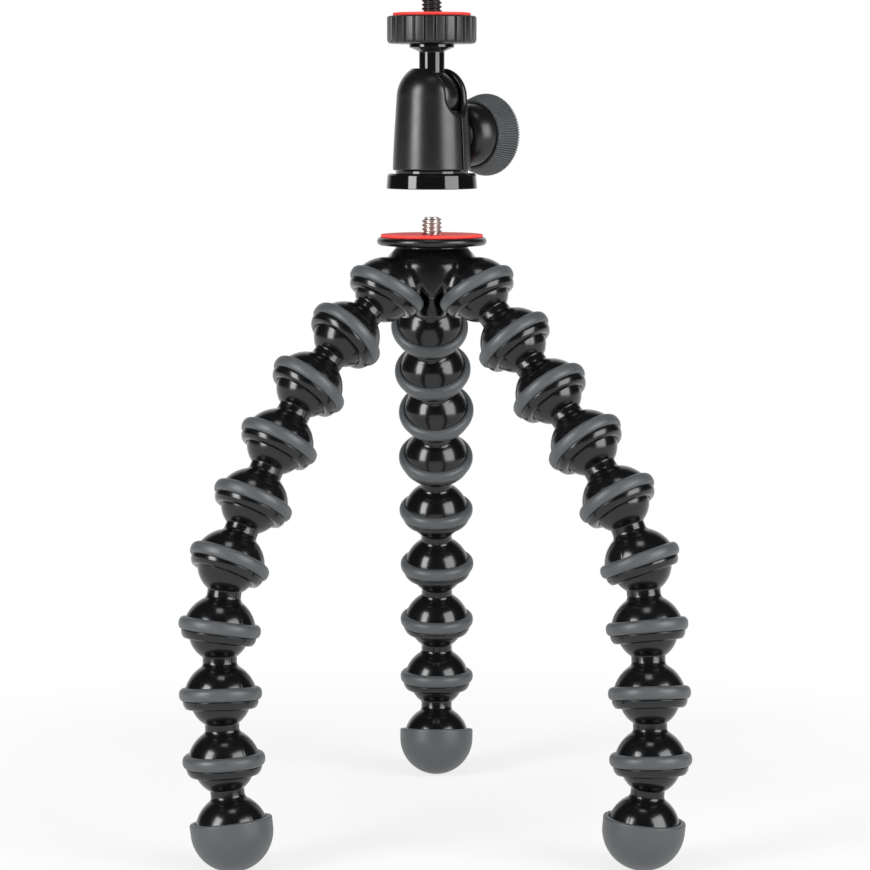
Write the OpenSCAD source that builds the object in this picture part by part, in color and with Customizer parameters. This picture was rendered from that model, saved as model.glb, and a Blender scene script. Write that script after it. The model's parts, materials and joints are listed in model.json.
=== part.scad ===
// Flexible three-leg camera stand with a screw-on ball head, lifted off its stud.
// Millimetres, +Z up, standing on z = 0 with the origin under the middle of its box.

/* [Leg links] */
// Diameter of the ball on top of every link
ball_d = 18.7; // [18:0.1:19.2]
// Running clearance between a ball and its cup
ball_gap = 0.15; // [0.1:0.05:0.3]
// Wall of the cup and its dome
cup_wall = 1.65; // [1.4:0.05:1.8]
// Diameter of the neck between ball and dome
neck_d = 10.4; // [8:0.1:11]
// Length of the neck between ball and dome
neck_h = 2.6; // [2:0.1:4]
// Radius of the neck's concave corner under the ball
neck_top_round = 0.4; // [0.2:0.05:0.6]
// Radius of the neck's concave corner on the dome
neck_foot_round = 1.2; // [0.6:0.1:1.4]
// Diameter of the core hole in the top of a ball
core_d = 8.4; // [5:0.1:10]
// Depth of the core hole below the ball's top
core_depth = 12; // [6:0.5:14]
// Height of the cup's mouth below the cup centre
mouth_drop = 3.4; // [3:0.1:3.9]
// Amount by which the lip under the grip ring stands out past the dome
lip_flare = 0.4; // [0.2:0.1:0.8]
// Corner radius of the lip
lip_round = 3.4; // [3.2:0.05:3.8]

/* [Grip rings] */
// Thickness of a grip ring over the dome
ring_t = 1.45; // [1.45:0.05:2]
// Height of a grip ring
ring_h = 4.1; // [3.4:0.1:4.8]
// Corner radius of a grip ring's outer edge
ring_round = 1.4; // [0.6:0.1:1.4]
// Height of the ring's middle above the cup centre
ring_rise = 1.3; // [0.9:0.1:1.7]
// Clearance between moulded parts that stay together
part_fit = 0.05; // [0.03:0.01:0.1]

/* [Feet] */
// Wall of the round rubber foot
foot_wall = 1.4; // [1:0.1:2]
// Length of the neck above the foot
foot_neck_h = 2.7; // [2:0.1:5]
// Height of the foot pad's rim above the foot centre
foot_rim_h = 3.2; // [2:0.1:4.5]
// Corner radius of the foot pad's rim
foot_rim_round = 0.9; // [0.4:0.1:1.1]
// Depth of the flat on the underside of the foot link's plug
plug_cut = 1.5; // [0.5:0.1:3]
// Diameter of the core hole in the underside of the plug
plug_core_d = 13; // [8:0.1:14]
// Depth of the core hole above the plug's flat
plug_core_depth = 11; // [6:0.5:13]

/* [Leg pose] */
// Angle of the front legs forward of the side axis
front_leg_turn = 37; // [30:1:42]
// Direction of the rear leg seen from above
rear_leg_turn = 88; // [80:1:100]

/* [Hub] */
// Distance of each hub cup's centre from the hub axis
hub_cup_r = 16.9; // [16.3:0.1:18]
// Tilt of each hub cup away from straight down
hub_cup_tilt = 32; // [26:1:36]
// Height of the plate's underside above the tops of the cups' domes
crown_h = 3.3; // [2.4:0.1:6]
// Diameter of the waist under the plate
waist_d = 23.1; // [19:0.1:24]
// Diameter of the shoulder below the waist
shoulder_d = 29.7; // [28.4:0.1:31]
// Radius of the hollow between the waist and the shoulder
flare_round = 2.2; // [1.5:0.1:2.3]
// Height of the straight band at the shoulder
shoulder_h = 1.4; // [0.8:0.1:2.5]
// Diameter of the post at the hub's lower end
post_d = 8.8; // [7.8:0.1:9.4]
// Length of the post
post_h = 4; // [2:0.1:6]
// Drop of the post's lower end below the cup centres
post_drop = 8; // [7.5:0.1:10]
// Clearance kept between the hub's core and the grip rings
ring_clear = 0.4; // [0.2:0.05:0.8]

/* [Plate and stud] */
// Diameter of the plate
plate_d = 34.6; // [31:0.1:38]
// Thickness of the plate, whose rim is a half round
plate_h = 2.6; // [2:0.1:4]
// Distance of the friction pad's edge inside the plate's edge
plate_pad_inset = 1.2; // [0.9:0.1:3]
// Thickness of the plate's friction pad
plate_pad_h = 0.9; // [0.5:0.1:1.5]
// Diameter of the quarter-inch camera screws
screw_d = 6.35; // [6:0.05:6.6]
// Length of the stud above its pad
stud_h = 5.4; // [4.5:0.1:6]
// Length of the stud inside the hub below the plate
stud_root = 8; // [6:0.1:10]
// Width across the flats of the stud's moulded-in head
stud_head_w = 9.4; // [8:0.1:10]
// Height of the stud's head
stud_head_h = 3; // [2:0.1:4]
// Chamfer at the end of both camera screws
screw_chamfer = 0.6; // [0.3:0.1:1]
// Depth of both screws' threads, which the relief inside the pads shows
thread_depth = 0.6; // [0.3:0.05:0.9]

/* [Head base and housing] */
// Height by which the head is lifted off its seat
head_lift = 14.3; // [8:0.1:30]
// Turn of the head's notch from the +X axis
head_turn = -37; // [-180:1:180]
// Amount by which the base collar stands out past the housing
collar_ledge = 2; // [0.6:0.1:3]
// Height of the base collar
collar_h = 4.8; // [4.3:0.1:6]
// Chamfer on the collar's top edge
collar_chamfer = 0.6; // [0.2:0.1:0.8]
// Amount by which the collar's side leans in towards its top
collar_lean = 0.3; // [0:0.1:0.5]
// Depth of the shadow step under the housing's foot
step_inset = 0.9; // [0.4:0.1:2]
// Height of the shadow step
step_h = 0.8; // [0.4:0.1:1.2]
// Height of the spigot on which the housing turns
spigot_h = 4; // [3.6:0.1:4.6]
// Running clearance in the head's turning and tilting joints
head_gap = 0.15; // [0.1:0.05:0.25]
// Depth of the base's threaded hole past the end of the stud
hole_room = 1.2; // [0.4:0.1:2]
// Clearance around the stud in the threaded hole
thread_gap = 0.12; // [0.08:0.02:0.2]
// Wall of the housing at its foot
housing_wall = 3.3; // [2.8:0.1:4.4]
// Room between the ball and the housing's bore
bore_room = 0.3; // [0.2:0.05:0.6]
// Chamfer on the housing's foot
housing_chamfer = 0.5; // [0.2:0.1:1]
// Wall of the housing's domed top over the ball
dome_wall = 2.2; // [1.8:0.1:3]
// Height of the ball's centre above the housing's foot
body_h = 22.6; // [20:0.1:28]
// Diameter of the head's ball
pivot_d = 17.4; // [17:0.1:17.6]
// Room around the stem in the housing's opening
throat_room = 1.3; // [1.2:0.05:1.6]
// Room on each side of the stem in the drop notch
notch_room = 0.9; // [0.6:0.05:1.2]
// Width of the clamping slit under the notch
slit_w = 0.7; // [0.4:0.1:1]
// Section of the retaining clip, square
clip_w = 1; // [0.8:0.1:1.2]
// Height of the ball seat
seat_h = 4.8; // [4:0.1:5.4]
// Diameter of the hole through the ball seat
seat_hole_d = 9; // [7:0.1:11]
// Height of the ball's underside above the seat's underside
seat_floor = 0.2; // [0.1:0.05:0.5]

/* [Stem and camera platform] */
// Diameter of the stem
stem_d = 8; // [7.4:0.1:8.4]
// Diameter of the threaded end inside the ball
stem_thread_d = 5; // [4:0.1:6]
// Length of the threaded end inside the ball
stem_thread_h = 7; // [4:0.1:9]
// Length of the stem that shows between the housing and the flange
stem_h = 4.7; // [4:0.1:7]
// Diameter of the flange
flange_d = 14.1; // [11:0.1:17]
// Height of the flange's straight edge
flange_h = 1; // [0.6:0.1:1.6]
// Height of the cone under the flange
flange_cone_h = 1.3; // [0.8:0.1:2]
// Diameter of the spindle on which the wheel turns
spindle_d = 6; // [5:0.1:6.6]
// Height of the spindle up to its riveted head
spindle_h = 2.4; // [2:0.1:2.8]
// Amount by which the spindle's riveted head stands out past it
rivet_ledge = 1.2; // [0.6:0.1:1.6]
// Height of the spindle's riveted head
rivet_h = 1.2; // [0.8:0.1:1.4]
// Diameter of the camera wheel
wheel_d = 28; // [25:0.1:32]
// Height of the camera wheel
wheel_h = 8.6; // [7.8:0.1:10]
// Number of grooves around the camera wheel
wheel_grooves = 26; // [16:1:32]
// Width of each groove
wheel_groove_w = 0.9; // [0.5:0.1:1.4]
// Depth of each groove
wheel_groove_depth = 0.6; // [0.3:0.1:1]
// Edge chamfer of the camera wheel
wheel_chamfer = 0.5; // [0.2:0.1:1]
// Distance of the platform pad's edge inside the wheel's edge
wheel_pad_inset = 1.8; // [1.2:0.1:4]
// Thickness of the platform's friction pad
wheel_pad_h = 1; // [0.6:0.1:1.6]
// Length of the camera screw above its pad
camera_screw_h = 5.5; // [4.5:0.1:6.5]
// Amount by which the camera screw's root is wider than the rivet's room
root_ledge = 0.8; // [0.4:0.1:1.6]
// Height of the free room over the rivet, under the camera screw's root
rivet_room_h = 0.8; // [0.4:0.1:1.4]

/* [Lock knob] */
// Distance between the ball's underside and the lock screw
lock_clear = 1; // [0.8:0.1:1.6]
// Diameter of the knob over its rubber grip
knob_d = 26.4; // [23.4:0.1:27]
// Diameter of the knob over the back end of its grip
knob_back_d = 21.8; // [20:0.1:22.8]
// Length of the knob's swelling back, from its boss to the grip
swell_h = 7; // [4:0.1:9]
// Width of the rubber grip along the knob's axis
grip_w = 8.2; // [6:0.1:10]
// Thickness of the rubber grip at its back end
grip_t = 0.9; // [0.7:0.1:1.4]
// Number of grooves around the grip
grip_grooves = 72; // [40:1:84]
// Width of each grip groove
grip_groove_w = 0.45; // [0.3:0.05:0.55]
// Depth of each grip groove
grip_groove_depth = 0.4; // [0.2:0.1:0.6]
// Height of the crowned outer face past the grip
knob_crown = 0.7; // [0.3:0.1:1.2]
// Diameter of the knob's boss against the washer
knob_boss_d = 10.6; // [9:0.1:12]
// Length of the knob's boss
knob_boss_h = 2; // [1:0.1:2.5]
// Depth of the flat under the washer
spot_depth = 0.4; // [0.2:0.05:0.8]
// Diameter of the washer
washer_d = 9.6; // [8:0.1:11]
// Thickness of the washer
washer_h = 0.8; // [0.5:0.1:1.2]
// Diameter of the lock screw
lock_screw_d = 4; // [3.4:0.1:4.4]
// Length of the lock screw held inside the knob
lock_grip = 8; // [5:0.1:10]
// Diameter of the threaded insert in the far jaw
insert_d = 6.4; // [5.6:0.1:7]
// Wall of the housing left outside the threaded insert
insert_skin = 0.8; // [0.6:0.1:1.2]

/* [Hidden] */
$fn = 64;

LEGS = ["left", "right", "rear"];
LINKS = 8;
FOOT = LINKS + 1;

// Tilt of each link from straight down, hub end first, as the legs stand in the picture
LEG_TILTS = [
    [49, 42, 33, 30, 28, 11, 8, 4, 9],
    [41, 41, 42, 34, 22, 11, 11, 6, -6],
    [45, 40, 42, 34, 19, 14, 9, 1, -10]
];
// Turn of each link's tilt away from the direction of its leg
LINK_TURNS = [
    [-3, -4, 0, 4, 7, 9, 63, 97, 101],
    [8, 1, -1, 0, 9, -24, -45, -43, 49],
    [5, -3, -3, 3, 1, -2, 4, 2, 0]
];
// The link whose tilt is trimmed so that every foot reaches the floor
TRIM_LINK = 4;
CUP_TURNS = [210, 330, 90];
LEG_TURNS = [180 + front_leg_turn, -front_leg_turn, rear_leg_turn];

BLACK = [0.07, 0.07, 0.08];
SATIN = [0.11, 0.11, 0.12];
RUBBER = [0.37, 0.39, 0.41];
RED = [0.94, 0.25, 0.21];
STEEL = [0.75, 0.76, 0.78];
BRASS = [0.72, 0.58, 0.3];
NYLON = [0.2, 0.2, 0.2];

// Amount by which a cutting shape runs past the face that it cuts
over = 0.5;
// Depth by which a rounded corner bites into the face that it runs into
bite = 0.02;
// Sides of a hexagon
HEX = 6;
// Angle between the points of the knob's swelling back
SWELL_STEP = 10;

ball_r = ball_d / 2;
neck_r = neck_d / 2;
socket_r = ball_r + ball_gap;
cup_r = socket_r + cup_wall;
ring_r = cup_r + ring_t;
ring_low = ring_rise - ring_h / 2;
lip_top = ring_low - part_fit;
lip_r = cup_r + lip_flare;
plug_r = cup_r;
foot_r = plug_r + part_fit + foot_wall;
// Distance from a ball's centre to the end of its neck, plus that from the neck to the dome's centre
neck_ends = sqrt(ball_r * ball_r - neck_r * neck_r) + sqrt(cup_r * cup_r - neck_r * neck_r);
link_pitch = neck_ends + neck_h;
foot_pitch = neck_ends + foot_neck_h;

function sum(list, count) = count == 0 ? 0 : list[count - 1] + sum(list, count - 1);
function reach(link) = link == FOOT ? foot_pitch : link_pitch;
function heading(turn, tilt) = [sin(tilt) * cos(turn), sin(tilt) * sin(turn), -cos(tilt)];
function link_turn(leg, link) = LEG_TURNS[leg] + LINK_TURNS[leg][link - 1];

// Drop of a whole leg from its hub cup to its foot centre, for given tilts
function drop(tilts) = sum([for (n = [1:FOOT]) reach(n) * cos(tilts[n - 1])], FOOT);
leg_drop = drop(LEG_TILTS[0]);
function trimmed(tilts) = let (
    missing = leg_drop - drop(tilts),
    trim = acos(min(1, cos(tilts[TRIM_LINK - 1]) + missing / link_pitch))
) [for (n = [1:FOOT]) n == TRIM_LINK ? trim : tilts[n - 1]];
TILTS = [for (tilts = LEG_TILTS) trimmed(tilts)];

cup_z = foot_r + leg_drop;
function cup_centre(leg) = [hub_cup_r * cos(CUP_TURNS[leg]), hub_cup_r * sin(CUP_TURNS[leg]), cup_z];
function leg_joint(leg, link) = link == 1 ? cup_centre(leg)
    : leg_joint(leg, link - 1) + reach(link - 1) * heading(link_turn(leg, link - 1), TILTS[leg][link - 2]);

// The hub is set so that the whole box is centred on the origin
left_points = [for (n = [1:FOOT + 1]) leg_joint(0, n)];
right_points = [for (n = [1:FOOT + 1]) leg_joint(1, n)];
rear_points = [for (n = [1:FOOT + 1]) leg_joint(2, n)];
left_reach = min([for (p = left_points) p[0]]);
right_reach = max([for (p = right_points) p[0]]);
front_reach = min([for (p = concat(left_points, right_points)) p[1]]);
rear_reach = max([for (p = rear_points) p[1]]);
hub_x = -(left_reach + right_reach) / 2;
hub_y = -(front_reach + rear_reach) / 2;

plate_rise = cup_r + crown_h;
plate_low = cup_z + plate_rise;
plate_top = plate_low + plate_h;
pad_top = plate_top + plate_pad_h;
head_z = pad_top + head_lift;
screw_r = screw_d / 2;

pivot_r = pivot_d / 2;
pivot_socket_r = pivot_r + head_gap;
bore_r = pivot_r + bore_room;
housing_r = bore_r + housing_wall;
collar_r = housing_r + collar_ledge;
step_top = collar_h + step_h;
housing_low = step_top + head_gap;
spigot_r = bore_r - head_gap;
base_hole_depth = stud_h + hole_room;
ball_z = housing_low + body_h;
dome_r = pivot_socket_r + dome_wall;
stem_r = stem_d / 2;
throat_r = stem_r + throat_room;
notch_w = stem_d + 2 * notch_room;
// Height over the ball's centre of the flat on which the stem stands
stem_foot = sqrt(pivot_r * pivot_r - stem_r * stem_r);
dome_h = sqrt(dome_r * dome_r - throat_r * throat_r);
seat_drop = pivot_r + seat_floor;
clip_z = step_top + spigot_h / 2;
clip_in = spigot_r - clip_w / 2;
clip_out = clip_in + clip_w + head_gap;

flange_r = flange_d / 2;
flange_top = dome_h + stem_h + flange_cone_h + flange_h;
wheel_low = ball_z + flange_top + head_gap;
wheel_top = wheel_low + wheel_h;
wheel_r = wheel_d / 2;
rivet_r = spindle_d / 2 + rivet_ledge;
rivet_low = ball_z + flange_top + spindle_h;
rivet_top = rivet_low + rivet_h;
screw_root_low = rivet_top + rivet_room_h;
screw_root_h = wheel_top - screw_root_low;
screw_root_r = rivet_r + head_gap + root_ledge;

lock_screw_r = lock_screw_d / 2;
knob_z = ball_z - pivot_r - lock_clear - lock_screw_r;
// Radius of the housing's straight side at the knob's height
side_r = housing_r + (dome_r - housing_r) * (knob_z - housing_low) / body_h;
knob_r = knob_d / 2;
knob_back_r = knob_back_d / 2;
knob_core_r = knob_back_r - grip_t;
spot_face = side_r - spot_depth;
washer_out = spot_face + washer_h;
knob_low = washer_out + head_gap;
knob_dome_low = knob_low + knob_boss_h;
grip_start = knob_dome_low + swell_h;
grip_end = grip_start + grip_w;
insert_out = side_r - insert_skin;

// The half of a section that lies on the positive side of its axis
module half_section(span) {
    intersection() {
        translate([0, -span]) square([span, 2 * span]);
        children();
    }
}

// Section of a cup around its centre, dome up and mouth down, still full
module cup_section() {
    half_section(cup_r) {
        intersection() {
            circle(cup_r);
            translate([0, lip_top]) square([cup_r, cup_r - lip_top]);
        }
    }
    intersection() {
        translate([0, -mouth_drop]) square([lip_r, mouth_drop + lip_top]);
        union() {
            translate([lip_r - lip_round, lip_top]) circle(lip_round);
            translate([0, -mouth_drop]) square([lip_r - lip_round, mouth_drop + lip_top]);
        }
    }
}

// Concave corner where the neck meets a sphere: side is 1 for a sphere below the neck, -1 for one above it
module neck_corner(sphere_r, side, round) {
    edge = neck_r + round;
    centre_r = sphere_r + round - bite;
    level = sqrt(centre_r * centre_r - edge * edge);
    share = sphere_r / centre_r;
    difference() {
        polygon([
            [0, side * share * level], [share * edge, side * share * level],
            [edge, side * level], [0, side * level]
        ]);
        translate([edge, side * level]) circle(round);
    }
}

// Section of a ball with its neck running down to the sphere below it
module ball_section(neck_length, sphere_r) {
    half_section(ball_r) circle(ball_r);
    translate([0, -neck_length]) square([neck_r, neck_length]);
    neck_corner(ball_r, -1, neck_top_round);
    translate([0, -neck_length]) neck_corner(sphere_r, 1, neck_foot_round);
}

module core_section() {
    translate([0, ball_r - core_depth]) square([core_d / 2, core_depth + over]);
}

module link_moulding() {
    rotate_extrude() difference() {
        union() {
            ball_section(link_pitch, cup_r);
            translate([0, -link_pitch]) cup_section();
        }
        translate([0, -link_pitch]) half_section(cup_r) circle(socket_r);
        core_section();
    }
}

// A grip ring around the cup centre, hugging the dome
module grip_ring() {
    corner_x = ring_r - ring_round;
    corner_y = ring_h / 2 - ring_round;
    rotate_extrude() difference() {
        translate([0, ring_rise]) {
            translate([0, -ring_h / 2]) square([corner_x, ring_h]);
            translate([0, -corner_y]) square([ring_r, 2 * corner_y]);
            for (side = [-1, 1]) translate([corner_x, side * corner_y]) circle(ring_round);
        }
        half_section(ring_r) circle(cup_r + part_fit);
    }
}

// Places a piece with its ball centre at a joint and its axis along the link
module on_link(leg, link) {
    translate([hub_x, hub_y, 0] + leg_joint(leg, link))
        rotate([0, -TILTS[leg][link - 1], link_turn(leg, link)]) children();
}

module leg_link(leg, link) {
    on_link(leg, link) {
        color(BLACK) link_moulding();
        color(RUBBER) translate([0, 0, -link_pitch]) grip_ring();
    }
}

module foot_link(leg) {
    color(BLACK) on_link(leg, FOOT) rotate_extrude() difference() {
        union() {
            ball_section(foot_pitch, plug_r);
            translate([0, -foot_pitch]) intersection() {
                half_section(plug_r) circle(plug_r);
                translate([0, plug_cut - plug_r]) square([plug_r, 2 * plug_r]);
            }
        }
        translate([0, plug_cut - plug_r - foot_pitch - over])
            square([plug_core_d / 2, plug_core_depth + over]);
        core_section();
    }
}

module foot_pad(leg) {
    corner_x = foot_r - foot_rim_round;
    corner_y = foot_rim_h - foot_rim_round;
    color(RUBBER) on_link(leg, FOOT) translate([0, 0, -foot_pitch]) rotate_extrude() difference() {
        union() {
            intersection() {
                half_section(foot_r) circle(foot_r);
                translate([0, -foot_r]) square(foot_r);
            }
            square([foot_r, corner_y]);
            square([corner_x, foot_rim_h]);
            translate([corner_x, corner_y]) circle(foot_rim_round);
        }
        intersection() {
            half_section(foot_r) circle(plug_r + part_fit);
            translate([0, plug_cut - plug_r - part_fit]) square([foot_r, 2 * foot_r]);
        }
    }
}

module on_hub_cup(leg) {
    translate([hub_x, hub_y, 0] + cup_centre(leg)) rotate([0, -hub_cup_tilt, CUP_TURNS[leg]]) children();
}

module on_hub(height) {
    translate([hub_x, hub_y, height]) children();
}

// Core of the hub: waist, flared shoulder, and a cone down to the post
module hub_core() {
    waist_r = waist_d / 2;
    shoulder_r = shoulder_d / 2;
    flare_x = waist_r + flare_round;
    flare_low = plate_rise - flare_round;
    slope = shoulder_r - flare_x;
    post_r = post_d / 2;
    post_top = post_h - post_drop;
    rotate_extrude() difference() {
        polygon([
            [0, plate_rise], [flare_x, plate_rise], [flare_x, flare_low],
            [shoulder_r, flare_low - slope], [shoulder_r, flare_low - slope - shoulder_h],
            [post_r, post_top], [post_r, -post_drop], [0, -post_drop]
        ]);
        translate([flare_x, plate_rise]) circle(flare_round);
    }
}

module hub_body() {
    color(BLACK) difference() {
        union() {
            difference() {
                on_hub(cup_z) hub_core();
                for (leg = [0:2]) on_hub_cup(leg) translate([0, 0, -ring_r])
                    cylinder(h = ring_r + ring_rise + ring_h / 2 + ring_clear, r = ring_r + ring_clear);
            }
            for (leg = [0:2]) on_hub_cup(leg) rotate_extrude() cup_section();
        }
        for (leg = [0:2]) on_hub_cup(leg) sphere(socket_r);
        on_hub(plate_low - stud_root) cylinder(h = stud_root + over, r = screw_r + part_fit);
        on_hub(plate_low - stud_root) stud_head(stud_head_w + 2 * part_fit, stud_head_h + part_fit);
    }
}

module hub_grip_rings() {
    color(RUBBER) for (leg = [0:2]) on_hub_cup(leg) grip_ring();
}

module stud_head(width, height) {
    cylinder(h = height, d = width / cos(180 / HEX), $fn = HEX);
}

module base_plate() {
    rim = plate_h / 2;
    color(BLACK) on_hub(plate_low) rotate_extrude() difference() {
        union() {
            square([plate_d / 2 - rim, plate_h]);
            translate([plate_d / 2 - rim, rim]) circle(rim);
        }
        translate([0, -over]) square([screw_r + part_fit, plate_h + 2 * over]);
    }
}

module plate_pad() {
    color(RED) on_hub(plate_top) difference() {
        cylinder(h = plate_pad_h, r = plate_d / 2 - plate_pad_inset);
        translate([0, 0, -over]) cylinder(h = plate_pad_h + 2 * over, r = screw_r + part_fit);
    }
}

// A camera screw's free end above a pad, with its thread relief down through the pad
module screw_end(pad_h, height) {
    cylinder(h = pad_h + height - screw_chamfer, r = screw_r - thread_depth);
    translate([0, 0, pad_h]) cylinder(h = height - screw_chamfer, r = screw_r);
    translate([0, 0, pad_h + height - screw_chamfer])
        cylinder(h = screw_chamfer, r1 = screw_r, r2 = screw_r - screw_chamfer);
}

module tripod_stud() {
    color(STEEL) on_hub(plate_low - stud_root) {
        stud_head(stud_head_w, stud_head_h);
        cylinder(h = stud_root + plate_h, r = screw_r);
        translate([0, 0, stud_root + plate_h]) screw_end(plate_pad_h, stud_h);
    }
}

// Head frame: origin in the middle of the collar's underside, +X through the notch
module on_head() {
    translate([hub_x, hub_y, head_z]) rotate([0, 0, head_turn]) children();
}

// Knob frame: +Z along the knob's axis, starting at the head's axis
module on_knob_axis() {
    on_head() translate([0, 0, knob_z]) rotate([-90, 0, 0]) children();
}

module head_base() {
    color(BLACK) on_head() rotate_extrude() difference() {
        union() {
            polygon([
                [0, 0], [collar_r, 0], [collar_r - collar_lean, collar_h - collar_chamfer],
                [collar_r - collar_lean - collar_chamfer, collar_h], [0, collar_h]
            ]);
            square([housing_r - step_inset, step_top]);
            square([spigot_r, step_top + spigot_h]);
        }
        translate([clip_in - head_gap, clip_z - clip_w / 2 - head_gap])
            square([clip_w, clip_w + 2 * head_gap]);
        translate([0, -over]) square([screw_r + thread_gap, base_hole_depth + over]);
    }
}

module retaining_clip() {
    color(STEEL) on_head() translate([0, 0, clip_z - clip_w / 2]) rotate_extrude()
        translate([clip_in, 0]) square([clip_out - clip_in, clip_w]);
}

module head_housing() {
    color(SATIN) difference() {
        on_head() rotate_extrude() difference() {
            union() {
                polygon([
                    [0, housing_low], [housing_r - housing_chamfer, housing_low],
                    [housing_r, housing_low + housing_chamfer], [dome_r, ball_z], [0, ball_z]
                ]);
                intersection() {
                    translate([0, ball_z]) half_section(dome_r) circle(dome_r);
                    translate([0, ball_z]) square([dome_r, dome_h]);
                }
            }
            translate([0, ball_z]) half_section(dome_r) circle(pivot_socket_r);
            square([bore_r, ball_z]);
            square([throat_r, ball_z + dome_h + over]);
            translate([0, clip_z - clip_w / 2 - part_fit])
                square([clip_out + part_fit, clip_w + 2 * part_fit]);
        }
        on_head() drop_notch();
        on_head() translate([0, -slit_w / 2, housing_low - over])
            cube([2 * housing_r, slit_w, body_h]);
        on_knob_axis() cylinder(h = 2 * housing_r, r = lock_screw_r + head_gap);
        on_knob_axis() translate([0, 0, spot_face]) cylinder(h = housing_r, r = washer_d / 2 + head_gap);
        on_knob_axis() translate([0, 0, -insert_out - part_fit])
            cylinder(h = insert_out, r = insert_d / 2 + part_fit);
    }
}

// Slot through which the stem drops over to the side
module drop_notch() {
    translate([0, 0, ball_z]) rotate([90, 0, 90]) linear_extrude(2 * housing_r) {
        circle(notch_w / 2);
        translate([-notch_w / 2, 0]) square([notch_w, dome_r + over]);
    }
}

module ball_seat() {
    color(NYLON) on_head() difference() {
        translate([0, 0, ball_z - seat_drop]) cylinder(h = seat_h, r = bore_r - part_fit);
        translate([0, 0, ball_z]) sphere(pivot_r + part_fit);
        translate([0, 0, ball_z - seat_drop - over]) cylinder(h = seat_h, d = seat_hole_d);
    }
}

module lock_insert() {
    color(BRASS) on_knob_axis() difference() {
        translate([0, 0, -insert_out]) cylinder(h = insert_out - bore_r, d = insert_d);
        translate([0, 0, -insert_out - over]) cylinder(h = insert_out, r = lock_screw_r + head_gap);
    }
}

module lock_washer() {
    color(STEEL) on_knob_axis() translate([0, 0, spot_face]) difference() {
        cylinder(h = washer_h, d = washer_d);
        translate([0, 0, -over]) cylinder(h = washer_h + 2 * over, r = lock_screw_r + head_gap);
    }
}

module pivot_ball() {
    color(BLACK) on_head() translate([0, 0, ball_z]) difference() {
        sphere(pivot_r);
        translate([0, 0, stem_foot]) cylinder(h = pivot_r, r = pivot_r);
        translate([0, 0, stem_foot - stem_thread_h]) cylinder(h = pivot_r, r = stem_thread_d / 2 + head_gap);
    }
}

module ball_stem() {
    edge_low = flange_top - flange_h;
    cone_low = edge_low - flange_cone_h;
    color(BLACK) on_head() translate([0, 0, ball_z]) rotate_extrude() {
        polygon([
            [0, stem_foot + part_fit], [stem_r, stem_foot + part_fit], [stem_r, cone_low],
            [flange_r, edge_low], [flange_r, flange_top], [0, flange_top]
        ]);
        translate([0, stem_foot + 2 * head_gap - stem_thread_h]) square([stem_thread_d / 2, stem_thread_h]);
        translate([0, flange_top]) square([spindle_d / 2, spindle_h + rivet_h]);
        translate([0, flange_top + spindle_h]) square([rivet_r, rivet_h]);
    }
}

// Straight grooves around a wheel, cut from its rim inwards
module rim_grooves(count, radius, depth, width, height) {
    for (n = [0:count - 1]) rotate(n * 360 / count)
        translate([radius - depth, -width / 2, -over]) cube([depth + over, width, height + 2 * over]);
}

module camera_wheel() {
    rivet_room = rivet_r + head_gap;
    color(SATIN) on_head() difference() {
        rotate_extrude() difference() {
            polygon([
                [0, wheel_low], [wheel_r - wheel_chamfer, wheel_low], [wheel_r, wheel_low + wheel_chamfer],
                [wheel_r, wheel_top - wheel_chamfer], [wheel_r - wheel_chamfer, wheel_top], [0, wheel_top]
            ]);
            translate([0, wheel_low - over]) square([spindle_d / 2 + head_gap, wheel_h]);
            translate([0, rivet_low - head_gap]) square([rivet_room, wheel_h]);
            translate([0, screw_root_low]) square([screw_root_r + part_fit, wheel_h]);
        }
        translate([0, 0, wheel_low])
            rim_grooves(wheel_grooves, wheel_r, wheel_groove_depth, wheel_groove_w, wheel_h);
    }
}

module wheel_pad() {
    color(RED) on_head() translate([0, 0, wheel_top]) difference() {
        cylinder(h = wheel_pad_h, r = wheel_r - wheel_pad_inset);
        translate([0, 0, -over]) cylinder(h = wheel_pad_h + 2 * over, r = screw_r + part_fit);
    }
}

module camera_screw() {
    color(BLACK) on_head() translate([0, 0, screw_root_low]) {
        cylinder(h = screw_root_h, r = screw_root_r);
        translate([0, 0, screw_root_h]) screw_end(wheel_pad_h, camera_screw_h);
    }
}

// The knob's back swells from its boss to the grip in a quarter ellipse
module knob_core() {
    boss_r = knob_boss_d / 2;
    swell = [for (a = [0:SWELL_STEP:90]) [
        boss_r + (knob_core_r - boss_r) * sin(a),
        grip_start - (grip_start - knob_dome_low) * cos(a)
    ]];
    color(SATIN) on_knob_axis() rotate_extrude() difference() {
        polygon(concat(
            [[0, knob_low], [boss_r, knob_low]], swell,
            [[knob_core_r, grip_end], [boss_r, grip_end + knob_crown], [0, grip_end + knob_crown]]
        ));
        translate([0, knob_low - over]) square([lock_screw_r + part_fit, lock_grip + over + part_fit]);
    }
}

// Rubber grip that widens outwards, its grooves running along the cone
module knob_grip() {
    widening = atan((knob_r - knob_back_r) / grip_w);
    groove_start = knob_back_r - grip_groove_depth;
    color(RUBBER) on_knob_axis() translate([0, 0, grip_start]) difference() {
        cylinder(h = grip_w, r1 = knob_back_r, r2 = knob_r);
        translate([0, 0, -over]) cylinder(h = grip_w + 2 * over, r = knob_core_r + part_fit);
        for (n = [0:grip_grooves - 1]) rotate(n * 360 / grip_grooves)
            translate([groove_start, -grip_groove_w / 2, 0]) rotate([0, widening, 0])
                translate([0, 0, -grip_w]) cube([grip_w, grip_groove_w, 3 * grip_w]);
    }
}

module lock_screw() {
    color(STEEL) on_knob_axis() translate([0, 0, -insert_out])
        cylinder(h = insert_out + knob_low + lock_grip, r = lock_screw_r);
}

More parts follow.
